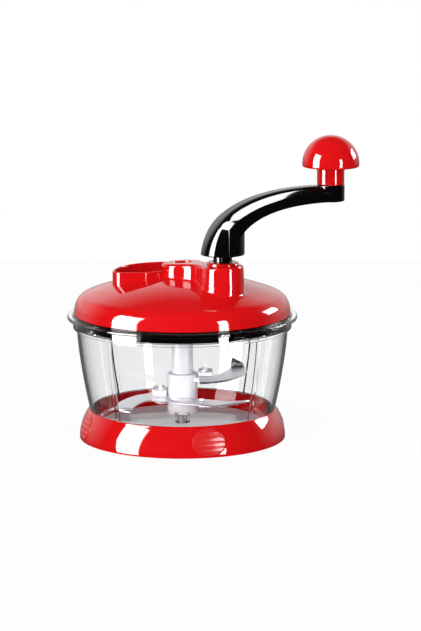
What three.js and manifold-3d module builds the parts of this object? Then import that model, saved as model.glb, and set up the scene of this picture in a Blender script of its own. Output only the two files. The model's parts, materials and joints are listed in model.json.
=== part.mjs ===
// Hand-crank food chopper: a red dome lid with a crank and step-up gears, a clear bowl
// with three curved blades, and a flared red base ring. Lengths are millimetres, +Z is up.
// Every piece is modelled about the bowl's axis, and the finished group is moved so that
// the origin is under the centre of the whole object, on the surface that it stands on.
import * as THREE from "three";
import { mergeVertices } from "three/addons/utils/BufferGeometryUtils.js";
import Module from "manifold-3d";

const wasm = await Module();
wasm.setup();

// Values that several pieces share
const gap = 0.3;             // between pieces that seat on, or run in, each other
const overrun = 3;           // how far a cutter runs past what it cuts
const edge_round = 0.8;      // small round on moulded edges
const moulded_wall = 2.4;    // wall of the red and clear mouldings
const weld_share = 1 / 3000; // points closer than this share of the gap are one point
const ring_facets = 32;
const body_facets = 20;
const small_facets = 14;
const screw_facets = 8;
const rivet_facets = 8;
const arc_facets = 4;
const band_facets = 2;
const wall_steps = 3;        // straight stretches down a curved wall
const corner_steps = 2;
const turn = 2 * Math.PI;
const degree = Math.PI / 180;
const quarter_turns = [0, 1, 2, 3];

// Feet and base ring
const foot_r = 6;
const foot_height = 3.6;
const foot_inset = 13.5;     // from the base ring's foot in to the centre of a rubber foot
const foot_boss_wall = 2;
const foot_proud = 1;
const base_r = 87.5;
const base_top_r = 79.5;
const base_top_z = 26;
const base_belly = 2.1;      // bulge of the flared wall beyond a straight cone
const ledge_reach = 17.5;    // from the lip in to the edge of the ledge
const ledge_z = 10;
const ledge_thick = 2;
const grip_half_width = 15;
const grip_half_height = 11.6;
const grip_proud = 0.5;
const grip_rib_proud = 0.6;
const grip_rib_pitch = 3.9;
const grip_rib_width = 1.2;
const grip_ribs = 5;
const grip_azimuth = -74.5 * degree;

// Bowl
const bowl_height = 96.2;        // from the ledge's seat to the rim
const bowl_floor = 2.7;
const bowl_corner = 7;
const bowl_draft = 0.8;          // the foot's corner is this much inside the plug's bore
const bowl_mouth_r = 89.4;       // outside of the wall, just under the collar
const bowl_neck_inset = 0.6;     // from the base ring's lip in to the wall just above it
const bowl_curve = 1.45;         // exponent of the wall's outward curve
const collar_height = 11;
const collar_proud = 3.2;
const collar_wall = 2.3;
const collar_seat_depth = 9.1;   // from the rim down to the seat inside the collar
const flange_thick = 3;
const flange_wide = 4.9;
const bowl_rib_width = 4;
const bowl_rib_proud = 1.5;
const bowl_rib_azimuth = 46.8 * degree;
const boss_r = 6;
const boss_height = 7;
const pin_r = 2.5;
const pin_reach = 26.5;          // from the blade hub's foot up to the pin's top
const pin_foot = 1.5;            // clear plastic left under the pin

// Bayonet ridges on the collar and their grooves in the skirt
const ridge_proud = 1.6;
const ridge_depth = 7.7;         // from the rim down to the underside of a ridge
const ridge_height = 4.3;
const ridge_azimuth = -47 * degree;
const ridge_span = 15 * degree;
const stop_span = 4 * degree;
const stop_offset = -11.5 * degree;
const groove_play = 1.2 * degree;
const lock_turn = 17 * degree;

// Lid base: gear plate and skirt
const skirt_play = 0.8;
const skirt_wall = 3.5;
const lid_flange = 0.8;
const lid_flange_wide = 3.3;
const plate_thick = 2;

// Dome
const dome_height = 32.1;
const dome_inset = 0.8;          // from the black flange's edge in to the dome's edge
const dome_side_inset = 0.7;
const dome_side_rise = 4.6;
const dome_shoulder_inset = 9.5;
const dome_shoulder_drop = 15.6; // height lost from the top to the shoulder
const dome_corner_inset = 2.1;
const dome_corner_drop = 18.5;
const dome_outer_steps = [5, 4, 1];
const dome_inner_steps = [2, 2, 1];

// Gear train
const gear_play = 1.9;           // from the crank's gear to the dome's inner wall
const pinion_play = 0.2;         // from the pinion to the inside of its lobe
const crank_teeth = 48;
const pinion_teeth = 18;
const gear_face = 6;
const gear_backlash = 0.3;
const pressure_angle = 20 * degree;
const gear_rim = 4;
const gear_web = 2.6;
const gear_hub_wall = 5.1;
const gear_hub_height = 13;
const crank_side = -46.5 * degree;   // direction from the bowl's axis to the crank's axis

// Gear housing on the dome
const crank_lobe_r = 17.4;
const waist_r = 26;
const lobe_steps = 10;
const waist_steps = 3;
const lobe_rise = 11.2;          // from the dome's top to the housing over the pinion
const housing_climb = 3.3;       // from there to the housing under the crank
const housing_draft = 1.3;
const housing_round = 3;
const housing_wall = 2.4;
const housing_sink = 22;         // how far the housing's wall starts below the dome's top
const dimple_r = 8.7;
const dimple_depth = 1.5;
const shaft_collar_r = 13.4;
const shaft_collar_rise = 2.9;
const shaft_collar_round = 1.5;

// Feed chute
const chute_rise = 4.6;          // from the dome's top to the chute's rim
const chute_wall = 2;
const chute_back_r = 46.8;
const chute_back_x = -12;
const chute_back_y = -6;
const chute_corner_r = 10;
const chute_front_x = -32;
const chute_back_end = 65 * degree;
const chute_corner_steps = 3;
const chute_back_steps = 8;

// Shafts and bushes
const journal_r = 5;
const shaft_r = 7;
const shaft_flat = 0.4;          // how far the flats of the gear's seat cut into the shaft
const spline_r = 7.8;
const spline_height = 1;
const splines = 12;
const bush_wall = 1.8;
const bush_flange = 0.9;
const bush_flange_wide = 2;
const bush_height = 16;
const tube_wall = 2.2;
const pinion_journal_r = 8.5;
const pinion_stub_r = 5;
const pinion_stub_rise = 16;
const driver_flat_r = 4.6;       // half the width across flats of the blade driver
const driver_length = 13;
const bearing_cup_depth = 6;

// Screws that join the gear plate to the dome
const screw_inset = 11.5;        // from the skirt in to a screw
const screw_azimuth = -1.5 * degree;
const screw_r = 1.5;
const screw_head_wide = 1.6;
const screw_head = 2;
const screw_length = 14;

// Blade unit
const blade_hub_clear = 1.5;     // from the bowl's boss up to the hub's foot
const hub_height = 34.5;
const hub_r = 12.8;
const hub_wall = 2.8;
const hub_recess = 9;
const hub_notches = 8;
const hub_notch_width = 4.4;
const hub_notch = 2.4;
const stalk_r = 9;
const arm_length = 13.2;         // how far an arm reaches beyond the hub
const arm_half_width = 8.5;
const arm_thick = 3.2;
const upper_blade_rise = 31.5;   // from the hub's foot
const front_blade_rise = 13.9;
const left_blade_rise = 9.6;
const blade_thick = 1;
const upper_clamp_thick = 3.6;
const lower_clamp_thick = 6;
const rivet_r = 1.6;
const rivet_head_wide = 1.1;
const rivet_head = 0.9;
const rivet_inset = 4.6;         // from a clamp's inner end to its rivets
const rivet_y = 4.4;
const blade_grind = 3;           // width of the ground edge
const grind_limit_share = 1 / 3; // and at most this share of the blade's width
const blade_edge = 0.25;         // thickness left at the ground edge
const hook_reach = 60;
const upper_tip_rise = 7;
const left_tip_drop = 2.2;
const front_arm_angle = -52 * degree;
const front_arm_length = 18.2;
const front_rivet_inset = 4;     // from the front arm's end in to its rivet

// Crank
const hub_clear = 6.3;           // from the shaft collar's top to the crank hub
const crank_hub_r = 18.3;
const crank_hub_height = 23;
const crank_reach = 94.7;
const crank_direction = 17 * degree;
const crank_rise = 54.3;         // from the hub's foot to the arm's top at the knob
const crank_thick = 13.1;
const crank_boss_r = 11.75;
const crank_boss_proud = 0.4;
const crank_end_width = 22.5;
const crank_inner_start = 4.5;
const crank_socket = 18;
const arm_steps = 11;

// Knob
const knob_height = 41.3;
const knob_stem_r = 11.5;
const knob_stem_sunk = 4;        // how far the stem's top is above the cap's widest circle
const knob_cap_r = 24;
const knob_cap_lip = 2.4;
const knob_lip_inset = 2.2;
const knob_pin_r = 4;
const knob_pin_depth = 9.6;
const knob_head_wide = 2.5;
const knob_head = 3;
const cap_steps = 4;

// Radii worked out from the sizes above
const foot_circle_r = base_r - foot_inset;
const foot_boss_r = foot_r + foot_boss_wall;
const ledge_r = base_top_r - ledge_reach;
const bowl_plug_r = base_top_r - moulded_wall - gap;
const bowl_foot_r = bowl_plug_r - bowl_draft - bowl_corner;
const bowl_neck_r = base_top_r - bowl_neck_inset;
const collar_r = bowl_mouth_r + collar_proud;
const collar_bore_r = collar_r - collar_wall;
const flange_r = collar_r + flange_wide;
const skirt_r = collar_bore_r - skirt_play;
const lid_flange_r = skirt_r + lid_flange_wide;
const dome_edge_r = lid_flange_r - dome_inset;
const dome_side_r = dome_edge_r - dome_side_inset;
const dome_shoulder_r = dome_edge_r - dome_shoulder_inset;
const dome_corner_r = dome_edge_r - dome_corner_inset;
const screw_circle_r = skirt_r - screw_inset;
const screw_head_r = screw_r + screw_head_wide;
const screw_boss_r = screw_r + gap + moulded_wall;
const shaft_flat_r = shaft_r - shaft_flat;
const spline_root_r = spline_r - spline_height;
const bush_bore_r = shaft_r + gap;
const gear_hub_r = shaft_flat_r + gap + gear_hub_wall;

// The gears are as large as the dome allows: from the bowl's axis, the train reaches out by the
// pinion's radius, the crank gear's diameter and the height of a tooth
const train_reach = dome_side_r - moulded_wall - gear_play;
const gear_module = train_reach / (pinion_teeth / 2 + crank_teeth + 1);
const crank_gear_r = gear_module * crank_teeth / 2;
const pinion_gear_r = gear_module * pinion_teeth / 2;
const gear_centres = crank_gear_r + pinion_gear_r;
const lobe_r = pinion_gear_r + gear_module + pinion_play + housing_wall;
const crank_x = gear_centres * Math.cos(crank_side);
const crank_y = gear_centres * Math.sin(crank_side);
const hub_recess_r = hub_r - hub_wall;
const arm_reach = hub_r + arm_length;
const clamp_inner_x = hub_r + 2 * gap;
const rivet_x = clamp_inner_x + rivet_inset;
const rivet_head_r = rivet_r + rivet_head_wide;
const front_arm_reach = hub_r + front_arm_length;
const front_rivet_reach = front_arm_reach - front_rivet_inset;
const knob_lip_r = knob_cap_r - knob_lip_inset;
const knob_head_r = knob_pin_r + knob_head_wide;
const knob_x = crank_x + crank_reach * Math.cos(crank_direction);
const knob_y = crank_y + crank_reach * Math.sin(crank_direction);

// Heights worked out from the sizes above, from the table up
const ledge_seat_z = ledge_z + gap;
const floor_z = ledge_seat_z + bowl_floor;
const shoulder_z = base_top_z + gap;
const boss_top_z = floor_z + boss_height;
const rim_z = ledge_seat_z + bowl_height;
const collar_z = rim_z - collar_height;
const collar_seat_z = rim_z - collar_seat_depth;
const flange_z = rim_z - flange_thick;
const ridge_z = rim_z - ridge_depth;
const skirt_z = collar_seat_z + 2 * gap;
const plate_top_z = rim_z;
const plate_z = plate_top_z - plate_thick;
const crank_bearing_z = plate_z - bearing_cup_depth;
const lid_flange_z = rim_z + gap;
const lid_top_z = lid_flange_z + lid_flange;
const dome_edge_z = lid_top_z + gap;
const dome_top_z = dome_edge_z + dome_height;
const housing_foot_z = dome_top_z - housing_sink;
const chute_rim_z = dome_top_z + chute_rise;
const lobe_top_z = dome_top_z + lobe_rise;
const crank_lobe_top_z = lobe_top_z + housing_climb;
const shaft_collar_z = crank_lobe_top_z + shaft_collar_rise;
const gear_z = plate_top_z + bush_flange + 2 * gap;
const gear_top_z = gear_z + gear_face;
const journal_foot_z = gear_z - bearing_cup_depth - plate_thick;
const driver_z = journal_foot_z - driver_length;
const stalk_top_z = journal_foot_z - gap;
const hub_foot_z = boss_top_z + blade_hub_clear;
const hub_top_z = hub_foot_z + hub_height;
const pin_top_z = hub_foot_z + pin_reach;
const upper_blade_z = hub_foot_z + upper_blade_rise;
const left_blade_z = hub_foot_z + left_blade_rise;
const front_blade_z = hub_foot_z + front_blade_rise;
const hub_z = shaft_collar_z + hub_clear;
const crank_top_z = hub_z + crank_rise;
const crank_under_z = crank_top_z - crank_thick;
const crank_boss_top_z = crank_top_z + crank_boss_proud;
const knob_foot_z = crank_boss_top_z + gap;
const knob_cap_z = knob_foot_z + knob_height - knob_cap_r;
const knob_stem_top_z = knob_cap_z + knob_stem_sunk;

// Materials
const finish = (color, roughness, metalness = 0) =>
  new THREE.MeshStandardMaterial({ color, roughness, metalness });
const red_abs = finish(0xe0141a, 0.12);
const black_abs = finish(0x0b0b0d, 0.12);
const clear_styrene = finish(0xeef2f4, 0.04);
clear_styrene.transparent = true;
clear_styrene.opacity = 0.3;
const white_acetal = finish(0xf2f1f4, 0.35);
const nylon = finish(0xe9e6dc, 0.5);
const blade_steel = finish(0xc9c9cc, 0.18, 1);
const screw_steel = finish(0xb4b6b9, 0.35, 1);
const rubber = finish(0x2a2a2c, 0.9);

// A closed three.js geometry as a solid, turned right side out if it needs it
function solid(geometry) {
  const bare = geometry.index ? geometry.toNonIndexed() : geometry.clone();
  bare.deleteAttribute("normal");
  bare.deleteAttribute("uv");
  const merged = mergeVertices(bare, gap * weld_share);
  const index = Array.from(merged.index.array);
  const faces = [];
  for (let i = 0; i < index.length; i += 3) {
    const [a, b, c] = index.slice(i, i + 3);
    if (a !== b && b !== c && c !== a) faces.push(a, b, c);
  }
  const at = (i) => new THREE.Vector3().fromBufferAttribute(merged.attributes.position, i);
  let volume = 0;
  for (let i = 0; i < faces.length; i += 3) {
    volume += at(faces[i]).dot(at(faces[i + 1]).cross(at(faces[i + 2])));
  }
  if (volume < 0) faces.reverse();
  return new wasm.Manifold(new wasm.Mesh({
    numProp: 3,
    vertProperties: new Float32Array(merged.attributes.position.array),
    triVerts: new Uint32Array(faces),
  }));
}

function geometryOf(body) {
  const { vertProperties, triVerts } = body.getMesh();
  const geometry = new THREE.BufferGeometry();
  geometry.setAttribute("position", new THREE.BufferAttribute(vertProperties, 3));
  geometry.setIndex(new THREE.BufferAttribute(triVerts, 1));
  geometry.computeVertexNormals();
  return geometry;
}

const join = (...bodies) => bodies.flat().reduce((whole, body) => whole.add(body));
const cut = (body, ...cutters) => cutters.flat().reduce((rest, cutter) => rest.subtract(cutter), body);

const point = (x, y) => new THREE.Vector2(x, y);

// A closed profile of [radius, height] points turned about an upright axis at (x, y)
function revolve(profile, facets = ring_facets, x = 0, y = 0) {
  const points = profile.map(([r, z]) => point(r, z));
  const ends_on_axis = profile[0][0] === 0 && profile.at(-1)[0] === 0;
  if (!ends_on_axis) points.push(points[0].clone());
  const geometry = new THREE.LatheGeometry(points, facets);
  geometry.rotateX(Math.PI / 2);
  geometry.translate(x, y, 0);
  return solid(geometry);
}

const cylinder = (r, low, high, x = 0, y = 0, facets = small_facets) =>
  revolve([[0, low], [r, low], [r, high], [0, high]], facets, x, y);

// A plan outline raised from one height to another
function prism(shape, low, high, curveSegments = arc_facets) {
  const depth = high - low;
  const geometry = new THREE.ExtrudeGeometry(shape, { depth, bevelEnabled: false, curveSegments });
  geometry.translate(0, 0, low);
  return solid(geometry);
}

function block(width, depth, low, high, x, y) {
  const geometry = new THREE.BoxGeometry(width, depth, high - low);
  geometry.translate(x, y, (low + high) / 2);
  return solid(geometry);
}

const turned = (body, angle) => body.rotate([0, 0, angle / degree]);
const quarters = (body, start = 0) =>
  quarter_turns.map((i) => turned(body, start + i * turn / quarter_turns.length));

// Triangles that fill a flat ring, turning the same way round as the ring does
function capFaces(ring) {
  const normal = new THREE.Vector3();
  ring.forEach((p, i) => normal.add(p.clone().cross(ring[(i + 1) % ring.length])));
  const [x, y, z] = normal.toArray().map(Math.abs);
  const across = z >= Math.max(x, y) ? ["x", "y"] : x >= y ? ["y", "z"] : ["x", "z"];
  const flat = ring.map((p) => new THREE.Vector2(p[across[0]], p[across[1]]));
  const way = Math.sign(THREE.ShapeUtils.area(flat));
  return THREE.ShapeUtils.triangulateShape(flat, []).map(([a, b, c]) =>
    (Math.sign(THREE.ShapeUtils.area([flat[a], flat[b], flat[c]])) === way ? [a, b, c] : [a, c, b]));
}

// A skin through closed rings of points, all with the same count, capped at both ends
function loft(rings) {
  const count = rings[0].length;
  const positions = rings.flat().flatMap((p) => [p.x, p.y, p.z]);
  const index = [];
  for (let ring = 0; ring < rings.length - 1; ring++) {
    for (let i = 0; i < count; i++) {
      const a = ring * count + i;
      const b = ring * count + (i + 1) % count;
      index.push(a, b, b + count, a, b + count, a + count);
    }
  }
  const last = (rings.length - 1) * count;
  for (const [a, b, c] of capFaces(rings[0])) index.push(c, b, a);
  for (const [a, b, c] of capFaces(rings.at(-1))) index.push(last + a, last + b, last + c);
  const geometry = new THREE.BufferGeometry();
  geometry.setAttribute("position", new THREE.Float32BufferAttribute(positions, 3));
  geometry.setIndex(index);
  return solid(geometry);
}

// A regular hexagon or a splined bar, by half its width across flats or its two radii
function hexagon(half_flat) {
  const corner_r = half_flat / Math.cos(turn / 12);
  return new THREE.Shape(Array.from({ length: 6 }, (_, i) =>
    point(corner_r * Math.cos(i * turn / 6), corner_r * Math.sin(i * turn / 6))));
}

function splined(outer_r, root_r) {
  const pitch = turn / splines;
  const flank_shares = [[-0.3, 0], [-0.2, 1], [0.2, 1], [0.3, 0]];
  return new THREE.Shape(Array.from({ length: splines }, (_, i) => flank_shares.map(([along, up]) => {
    const r = root_r + up * (outer_r - root_r);
    return point(r * Math.cos((i + along) * pitch), r * Math.sin((i + along) * pitch));
  })).flat());
}

// An upright outline, seen from +X with +Y to the right, pushed out along +X from the axis
function sideways(outline, length, curveSegments) {
  const geometry = new THREE.ExtrudeGeometry(outline, { depth: length, bevelEnabled: false, curveSegments });
  geometry.rotateX(Math.PI / 2);
  geometry.rotateZ(Math.PI / 2);
  return solid(geometry);
}

// A band of a ring in plan, between two radii and two angles
function band(inner_r, outer_r, from, to) {
  const shape = new THREE.Shape();
  shape.absarc(0, 0, outer_r, from, to, false);
  shape.absarc(0, 0, inner_r, to, from, true);
  return shape;
}

// Base ring

function baseRadius(z) {
  const t = (z - foot_proud) / (base_top_z - foot_proud);
  return base_r + (base_top_r - base_r) * t + 4 * base_belly * t * (1 - t);
}

function baseWall(offset, from, to, steps = wall_steps) {
  return Array.from({ length: steps + 1 }, (_, i) => {
    const z = THREE.MathUtils.lerp(from, to, i / steps);
    return [baseRadius(z) + offset, z];
  });
}

function baseRing() {
  const lip = base_top_z - edge_round;
  const ring = revolve([
    ...baseWall(0, foot_proud, lip),
    [base_top_r - edge_round, base_top_z],
    [base_top_r - moulded_wall, base_top_z],
    ...baseWall(-moulded_wall, lip, ledge_z, 1),
    [ledge_r, ledge_z],
    [ledge_r, ledge_z - ledge_thick],
    ...baseWall(-moulded_wall, ledge_z - ledge_thick, foot_proud, 1),
  ]);
  const middle_z = (foot_proud + base_top_z) / 2;
  const oval = new THREE.Shape();
  oval.absellipse(0, 0, grip_half_width, grip_half_height, 0, turn, false, 0);
  const window = sideways(oval, base_r + overrun, arc_facets).translate([0, 0, middle_z]);
  const skin = (proud, low, high, steps) => revolve([
    ...baseWall(proud, low, high, steps),
    ...baseWall(-moulded_wall / 2, high, low, steps),
  ]);
  const pad = skin(grip_proud, middle_z - grip_half_height, middle_z + grip_half_height, 2);
  const ribs = Array.from({ length: grip_ribs }, (_, i) => {
    const z = middle_z + (i - (grip_ribs - 1) / 2) * grip_rib_pitch;
    return skin(grip_proud + grip_rib_proud, z - grip_rib_width / 2, z + grip_rib_width / 2, 1);
  });
  const grips = join(pad, ribs).intersect(join(quarters(window, grip_azimuth)));
  const ledge_middle_z = ledge_z - ledge_thick / 2;
  const boss = cylinder(foot_boss_r, foot_height - ledge_thick, ledge_middle_z, foot_circle_r, 0);
  const socket = cylinder(foot_r + gap, 0, foot_height + gap, foot_circle_r, 0);
  const whole = join(ring, grips, quarters(boss, turn / 8));
  return cut(whole, quarters(socket, turn / 8));
}

const foot = () => cylinder(foot_r, 0, foot_height, foot_circle_r, 0);

// Bowl

function bowlRadius(z) {
  const down = (collar_z - z) / (collar_z - shoulder_z);
  return bowl_mouth_r - (bowl_mouth_r - bowl_neck_r) * down ** bowl_curve;
}

function bowlWall(offset, from, to, steps) {
  return Array.from({ length: steps + 1 }, (_, i) => {
    const z = THREE.MathUtils.lerp(from, to, i / steps);
    return [bowlRadius(z) + offset, z];
  });
}

function arcPoints(x, z, r, from, to, steps = corner_steps) {
  return Array.from({ length: steps + 1 }, (_, i) => {
    const angle = from + (to - from) * i / steps;
    return [x + r * Math.cos(angle), z + r * Math.sin(angle)];
  });
}

function bowlBody() {
  const corner_z = ledge_seat_z + bowl_corner;
  const inner_corner = bowl_corner - bowl_floor / 2;
  const shell = revolve([
    [0, ledge_seat_z],
    ...arcPoints(bowl_foot_r, corner_z, bowl_corner, -turn / 4, 0),
    [bowl_plug_r, shoulder_z],
    ...bowlWall(0, shoulder_z, collar_z, wall_steps),
    [collar_r, collar_z],
    [collar_r, flange_z],
    [flange_r, flange_z],
    [flange_r, rim_z - edge_round],
    [flange_r - edge_round, rim_z],
    [collar_bore_r, rim_z],
    [collar_bore_r, collar_seat_z],
    [bowl_mouth_r - moulded_wall, collar_seat_z],
    ...bowlWall(-moulded_wall, collar_z, shoulder_z, wall_steps),
    ...arcPoints(bowl_foot_r - moulded_wall, floor_z + inner_corner, inner_corner, 0, -turn / 4),
    [boss_r, floor_z],
    [boss_r, boss_top_z],
    [0, boss_top_z],
  ]);
  const rib_low = shoulder_z - gap;
  const stripe = block(bowl_mouth_r, bowl_rib_width, rib_low, collar_z, bowl_mouth_r / 2, 0);
  const skin = revolve([
    ...bowlWall(-moulded_wall / 2, rib_low, collar_z, wall_steps),
    ...bowlWall(-moulded_wall - bowl_rib_proud, collar_z, rib_low, wall_steps),
  ]);
  const rib = stripe.intersect(skin);
  const pin_hole = cylinder(pin_r + gap, ledge_seat_z + pin_foot, boss_top_z + overrun);
  return cut(join(shell, quarters(rib, bowl_rib_azimuth), quarters(ridge(), ridge_azimuth)), pin_hole);
}

// One bayonet ridge with its stop, on the collar's inner face about the +X direction
function ridge() {
  const half_width = collar_bore_r * Math.sin(ridge_span / 2);
  const half_height = ridge_height / 2;
  const outline = new THREE.Shape();
  outline.absarc(half_width - half_height, 0, half_height, -turn / 4, turn / 4, false);
  outline.absarc(half_height - half_width, 0, half_height, turn / 4, 3 * turn / 4, false);
  const bar = sideways(outline, collar_r, band_facets).translate([0, 0, ridge_z + half_height]);
  const wall_r = (collar_bore_r + collar_r) / 2;
  const layer = revolve([
    [collar_bore_r - ridge_proud, ridge_z - overrun],
    [wall_r, ridge_z - overrun],
    [wall_r, ridge_z + ridge_height + overrun],
    [collar_bore_r - ridge_proud, ridge_z + ridge_height + overrun],
  ]);
  const stop_from = stop_offset - stop_span / 2;
  const stop_shape = band(collar_bore_r - ridge_proud, wall_r, stop_from, stop_from + stop_span);
  return join(bar.intersect(layer), prism(stop_shape, ridge_z, ridge_z + ridge_height, 1));
}

const pivotPin = () => revolve([
  [0, ledge_seat_z + pin_foot + gap],
  [pin_r, ledge_seat_z + pin_foot + gap],
  [pin_r, pin_top_z - edge_round],
  [pin_r - edge_round, pin_top_z],
  [0, pin_top_z],
], small_facets);

// Feed chute in plan: a front wall, a rounded corner and a wide arc round to the housing.
// The inset moves every wall inwards, and the part within the housing closes the outline.
function chuteShape(inset) {
  const back_r = chute_back_r - inset;
  const corner_r = chute_corner_r - inset;
  const corner_x = chute_back_x - chute_back_r + chute_corner_r;
  const front_y = chute_back_y - chute_corner_r + inset;
  const end = chute_back_end + inset / chute_back_r;
  const front_start = lobe_r * Math.sin(turn / 16);
  const outline = [
    [inset, inset],
    [-lobe_r * Math.cos(turn / 16) + inset / 2, inset - front_start],
    [chute_front_x + inset / 2, front_y],
    ...arcPoints(corner_x, chute_back_y, corner_r, -turn / 4, -turn / 2, chute_corner_steps),
    ...arcPoints(chute_back_x, chute_back_y, back_r, -turn / 2, end - turn, chute_back_steps).slice(1),
    [lobe_r * Math.cos(turn / 8) - inset, lobe_r * Math.sin(turn / 8)],
  ];
  return new THREE.Shape(outline.map(([x, y]) => point(x, y)));
}

function chuteOpening(low, high) {
  const lobe = cylinder(lobe_r, low - overrun, high + overrun, 0, 0, ring_facets);
  return cut(prism(chuteShape(chute_wall), low, high), lobe);
}

// Lid base

function screwPlaces() {
  return quarter_turns.map((i) => {
    const angle = screw_azimuth + i * turn / quarter_turns.length;
    return [screw_circle_r * Math.cos(angle), screw_circle_r * Math.sin(angle)];
  });
}

function lidBase() {
  const bore_r = pinion_journal_r + gap + bush_wall + gap;
  const body = revolve([
    [bore_r, plate_z],
    [skirt_r - skirt_wall, plate_z],
    [skirt_r - skirt_wall, skirt_z],
    [skirt_r - edge_round, skirt_z],
    [skirt_r, skirt_z + edge_round],
    [skirt_r, lid_flange_z],
    [lid_flange_r, lid_flange_z],
    [lid_flange_r, lid_top_z],
    [skirt_r - skirt_wall, lid_top_z],
    [skirt_r - skirt_wall, plate_top_z],
    [bore_r, plate_top_z],
  ]);
  const cup_r = journal_r + gap + tube_wall;
  const cup = cylinder(cup_r, crank_bearing_z, gear_z - gap, crank_x, crank_y);
  const cup_floor_z = crank_bearing_z + tube_wall;
  const bearing = cylinder(journal_r + gap, cup_floor_z, gear_z + overrun, crank_x, crank_y);
  const screw_holes = screwPlaces().map(([x, y]) =>
    cylinder(screw_r + gap, plate_z - overrun, plate_top_z + overrun, x, y, screw_facets));
  const groove_r = collar_bore_r - ridge_proud - 2 * gap;
  const groove_top_z = ridge_z + ridge_height + 2 * gap;
  const entry_start = stop_offset - stop_span / 2 - groove_play;
  const entry_shape = band(groove_r, lid_flange_r, entry_start, ridge_span / 2 + groove_play);
  const entry = prism(entry_shape, skirt_z - overrun, groove_top_z, band_facets);
  const groove_shape = band(groove_r, lid_flange_r, 0, ridge_span / 2 + lock_turn);
  const groove = prism(groove_shape, ridge_z - 2 * gap, groove_top_z, band_facets);
  const grooves = quarters(join(entry, groove), ridge_azimuth);
  const window = chuteOpening(plate_z - overrun, plate_top_z + overrun);
  return cut(join(body, cup), bearing, screw_holes, grooves, window);
}

function lidScrew([x, y]) {
  const head_top_z = plate_z - gap;
  return revolve([
    [0, head_top_z - screw_head],
    [screw_head_r - edge_round, head_top_z - screw_head],
    [screw_head_r, head_top_z - screw_head + edge_round],
    [screw_head_r, head_top_z],
    [screw_r, head_top_z],
    [screw_r, head_top_z + screw_length - screw_r],
    [0, head_top_z + screw_length],
  ], screw_facets, x, y);
}

// Dome profile from the top to the bottom edge, moved inwards by an inset
function domeProfile(inset) {
  const path = new THREE.CurvePath();
  const shoulder = point(dome_shoulder_r, dome_top_z - dome_shoulder_drop);
  const side = point(dome_side_r, dome_edge_z + dome_side_rise);
  const half_crown = point(dome_shoulder_r / 2, dome_top_z);
  path.add(new THREE.QuadraticBezierCurve(point(0, dome_top_z), half_crown, shoulder));
  const corner = point(dome_corner_r, dome_top_z - dome_corner_drop);
  path.add(new THREE.QuadraticBezierCurve(shoulder, corner, side));
  path.add(new THREE.LineCurve(side, point(dome_edge_r, dome_edge_z)));
  const steps = inset > 0 ? dome_inner_steps : dome_outer_steps;
  const points = path.curves.flatMap((curve, n) => Array.from({ length: steps[n] }, (_, i) => {
    const along = i / steps[n];
    const tangent = curve.getTangent(along);
    return curve.getPoint(along).addScaledVector(point(tangent.y, -tangent.x), inset);
  }));
  points.push(point(dome_edge_r - inset, dome_edge_z));
  points[0].x = 0;
  return points.map((p) => [p.x, p.y]);
}

function domeSolid(inset) {
  const floor = inset > 0 ? dome_edge_z - overrun : dome_edge_z;
  const profile = domeProfile(inset);
  if (inset > 0) profile.push([dome_edge_r - inset, floor]);
  profile.push([0, floor]);
  return revolve(profile.reverse());
}

// Gear housing in plan: two round lobes joined by hollow curves, moved out by an offset.
// Its rings follow the sloping top, which climbs from the bowl's axis to the crank's.
function housingRing(offset, heightAt) {
  const reach_a = lobe_r + waist_r;
  const reach_b = crank_lobe_r + waist_r;
  const along = (reach_a ** 2 - reach_b ** 2 + gear_centres ** 2) / (2 * gear_centres);
  const aside = Math.sqrt(reach_a ** 2 - along ** 2);
  const left = Math.atan2(aside, along);
  const right = Math.atan2(aside, gear_centres - along);
  const arc = (x, y, r, from, to, steps) => Array.from({ length: steps }, (_, i) => {
    const angle = from + (to - from) * i / steps;
    return point(x + r * Math.cos(angle), y + r * Math.sin(angle));
  });
  const outline = [
    ...arc(0, 0, lobe_r + offset, left, turn - left, lobe_steps),
    ...arc(along, -aside, waist_r - offset, turn / 2 - left, right, waist_steps),
    ...arc(gear_centres, 0, crank_lobe_r + offset, right - turn / 2, turn / 2 - right, lobe_steps),
    ...arc(along, aside, waist_r - offset, -right, left - turn / 2, waist_steps),
  ];
  return outline.map((p) => {
    const q = p.clone().rotateAround(point(0, 0), crank_side);
    return new THREE.Vector3(q.x, q.y, heightAt(p.x));
  });
}

const housingTop = (along) => lobe_top_z + (crank_lobe_top_z - lobe_top_z) * along / gear_centres;

function housingSolid() {
  const rounds = Array.from({ length: corner_steps + 1 }, (_, i) => i / corner_steps * turn / 4);
  return loft([
    housingRing(housing_draft, () => housing_foot_z),
    ...rounds.map((a) => housingRing(
      -housing_round * (1 - Math.cos(a)),
      (along) => housingTop(along) - housing_round * (1 - Math.sin(a)))),
  ]);
}

const housingHollow = () => loft([
  housingRing(-housing_wall, () => dome_edge_z - overrun),
  housingRing(-housing_wall, (along) => housingTop(along) - housing_wall),
]);

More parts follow.
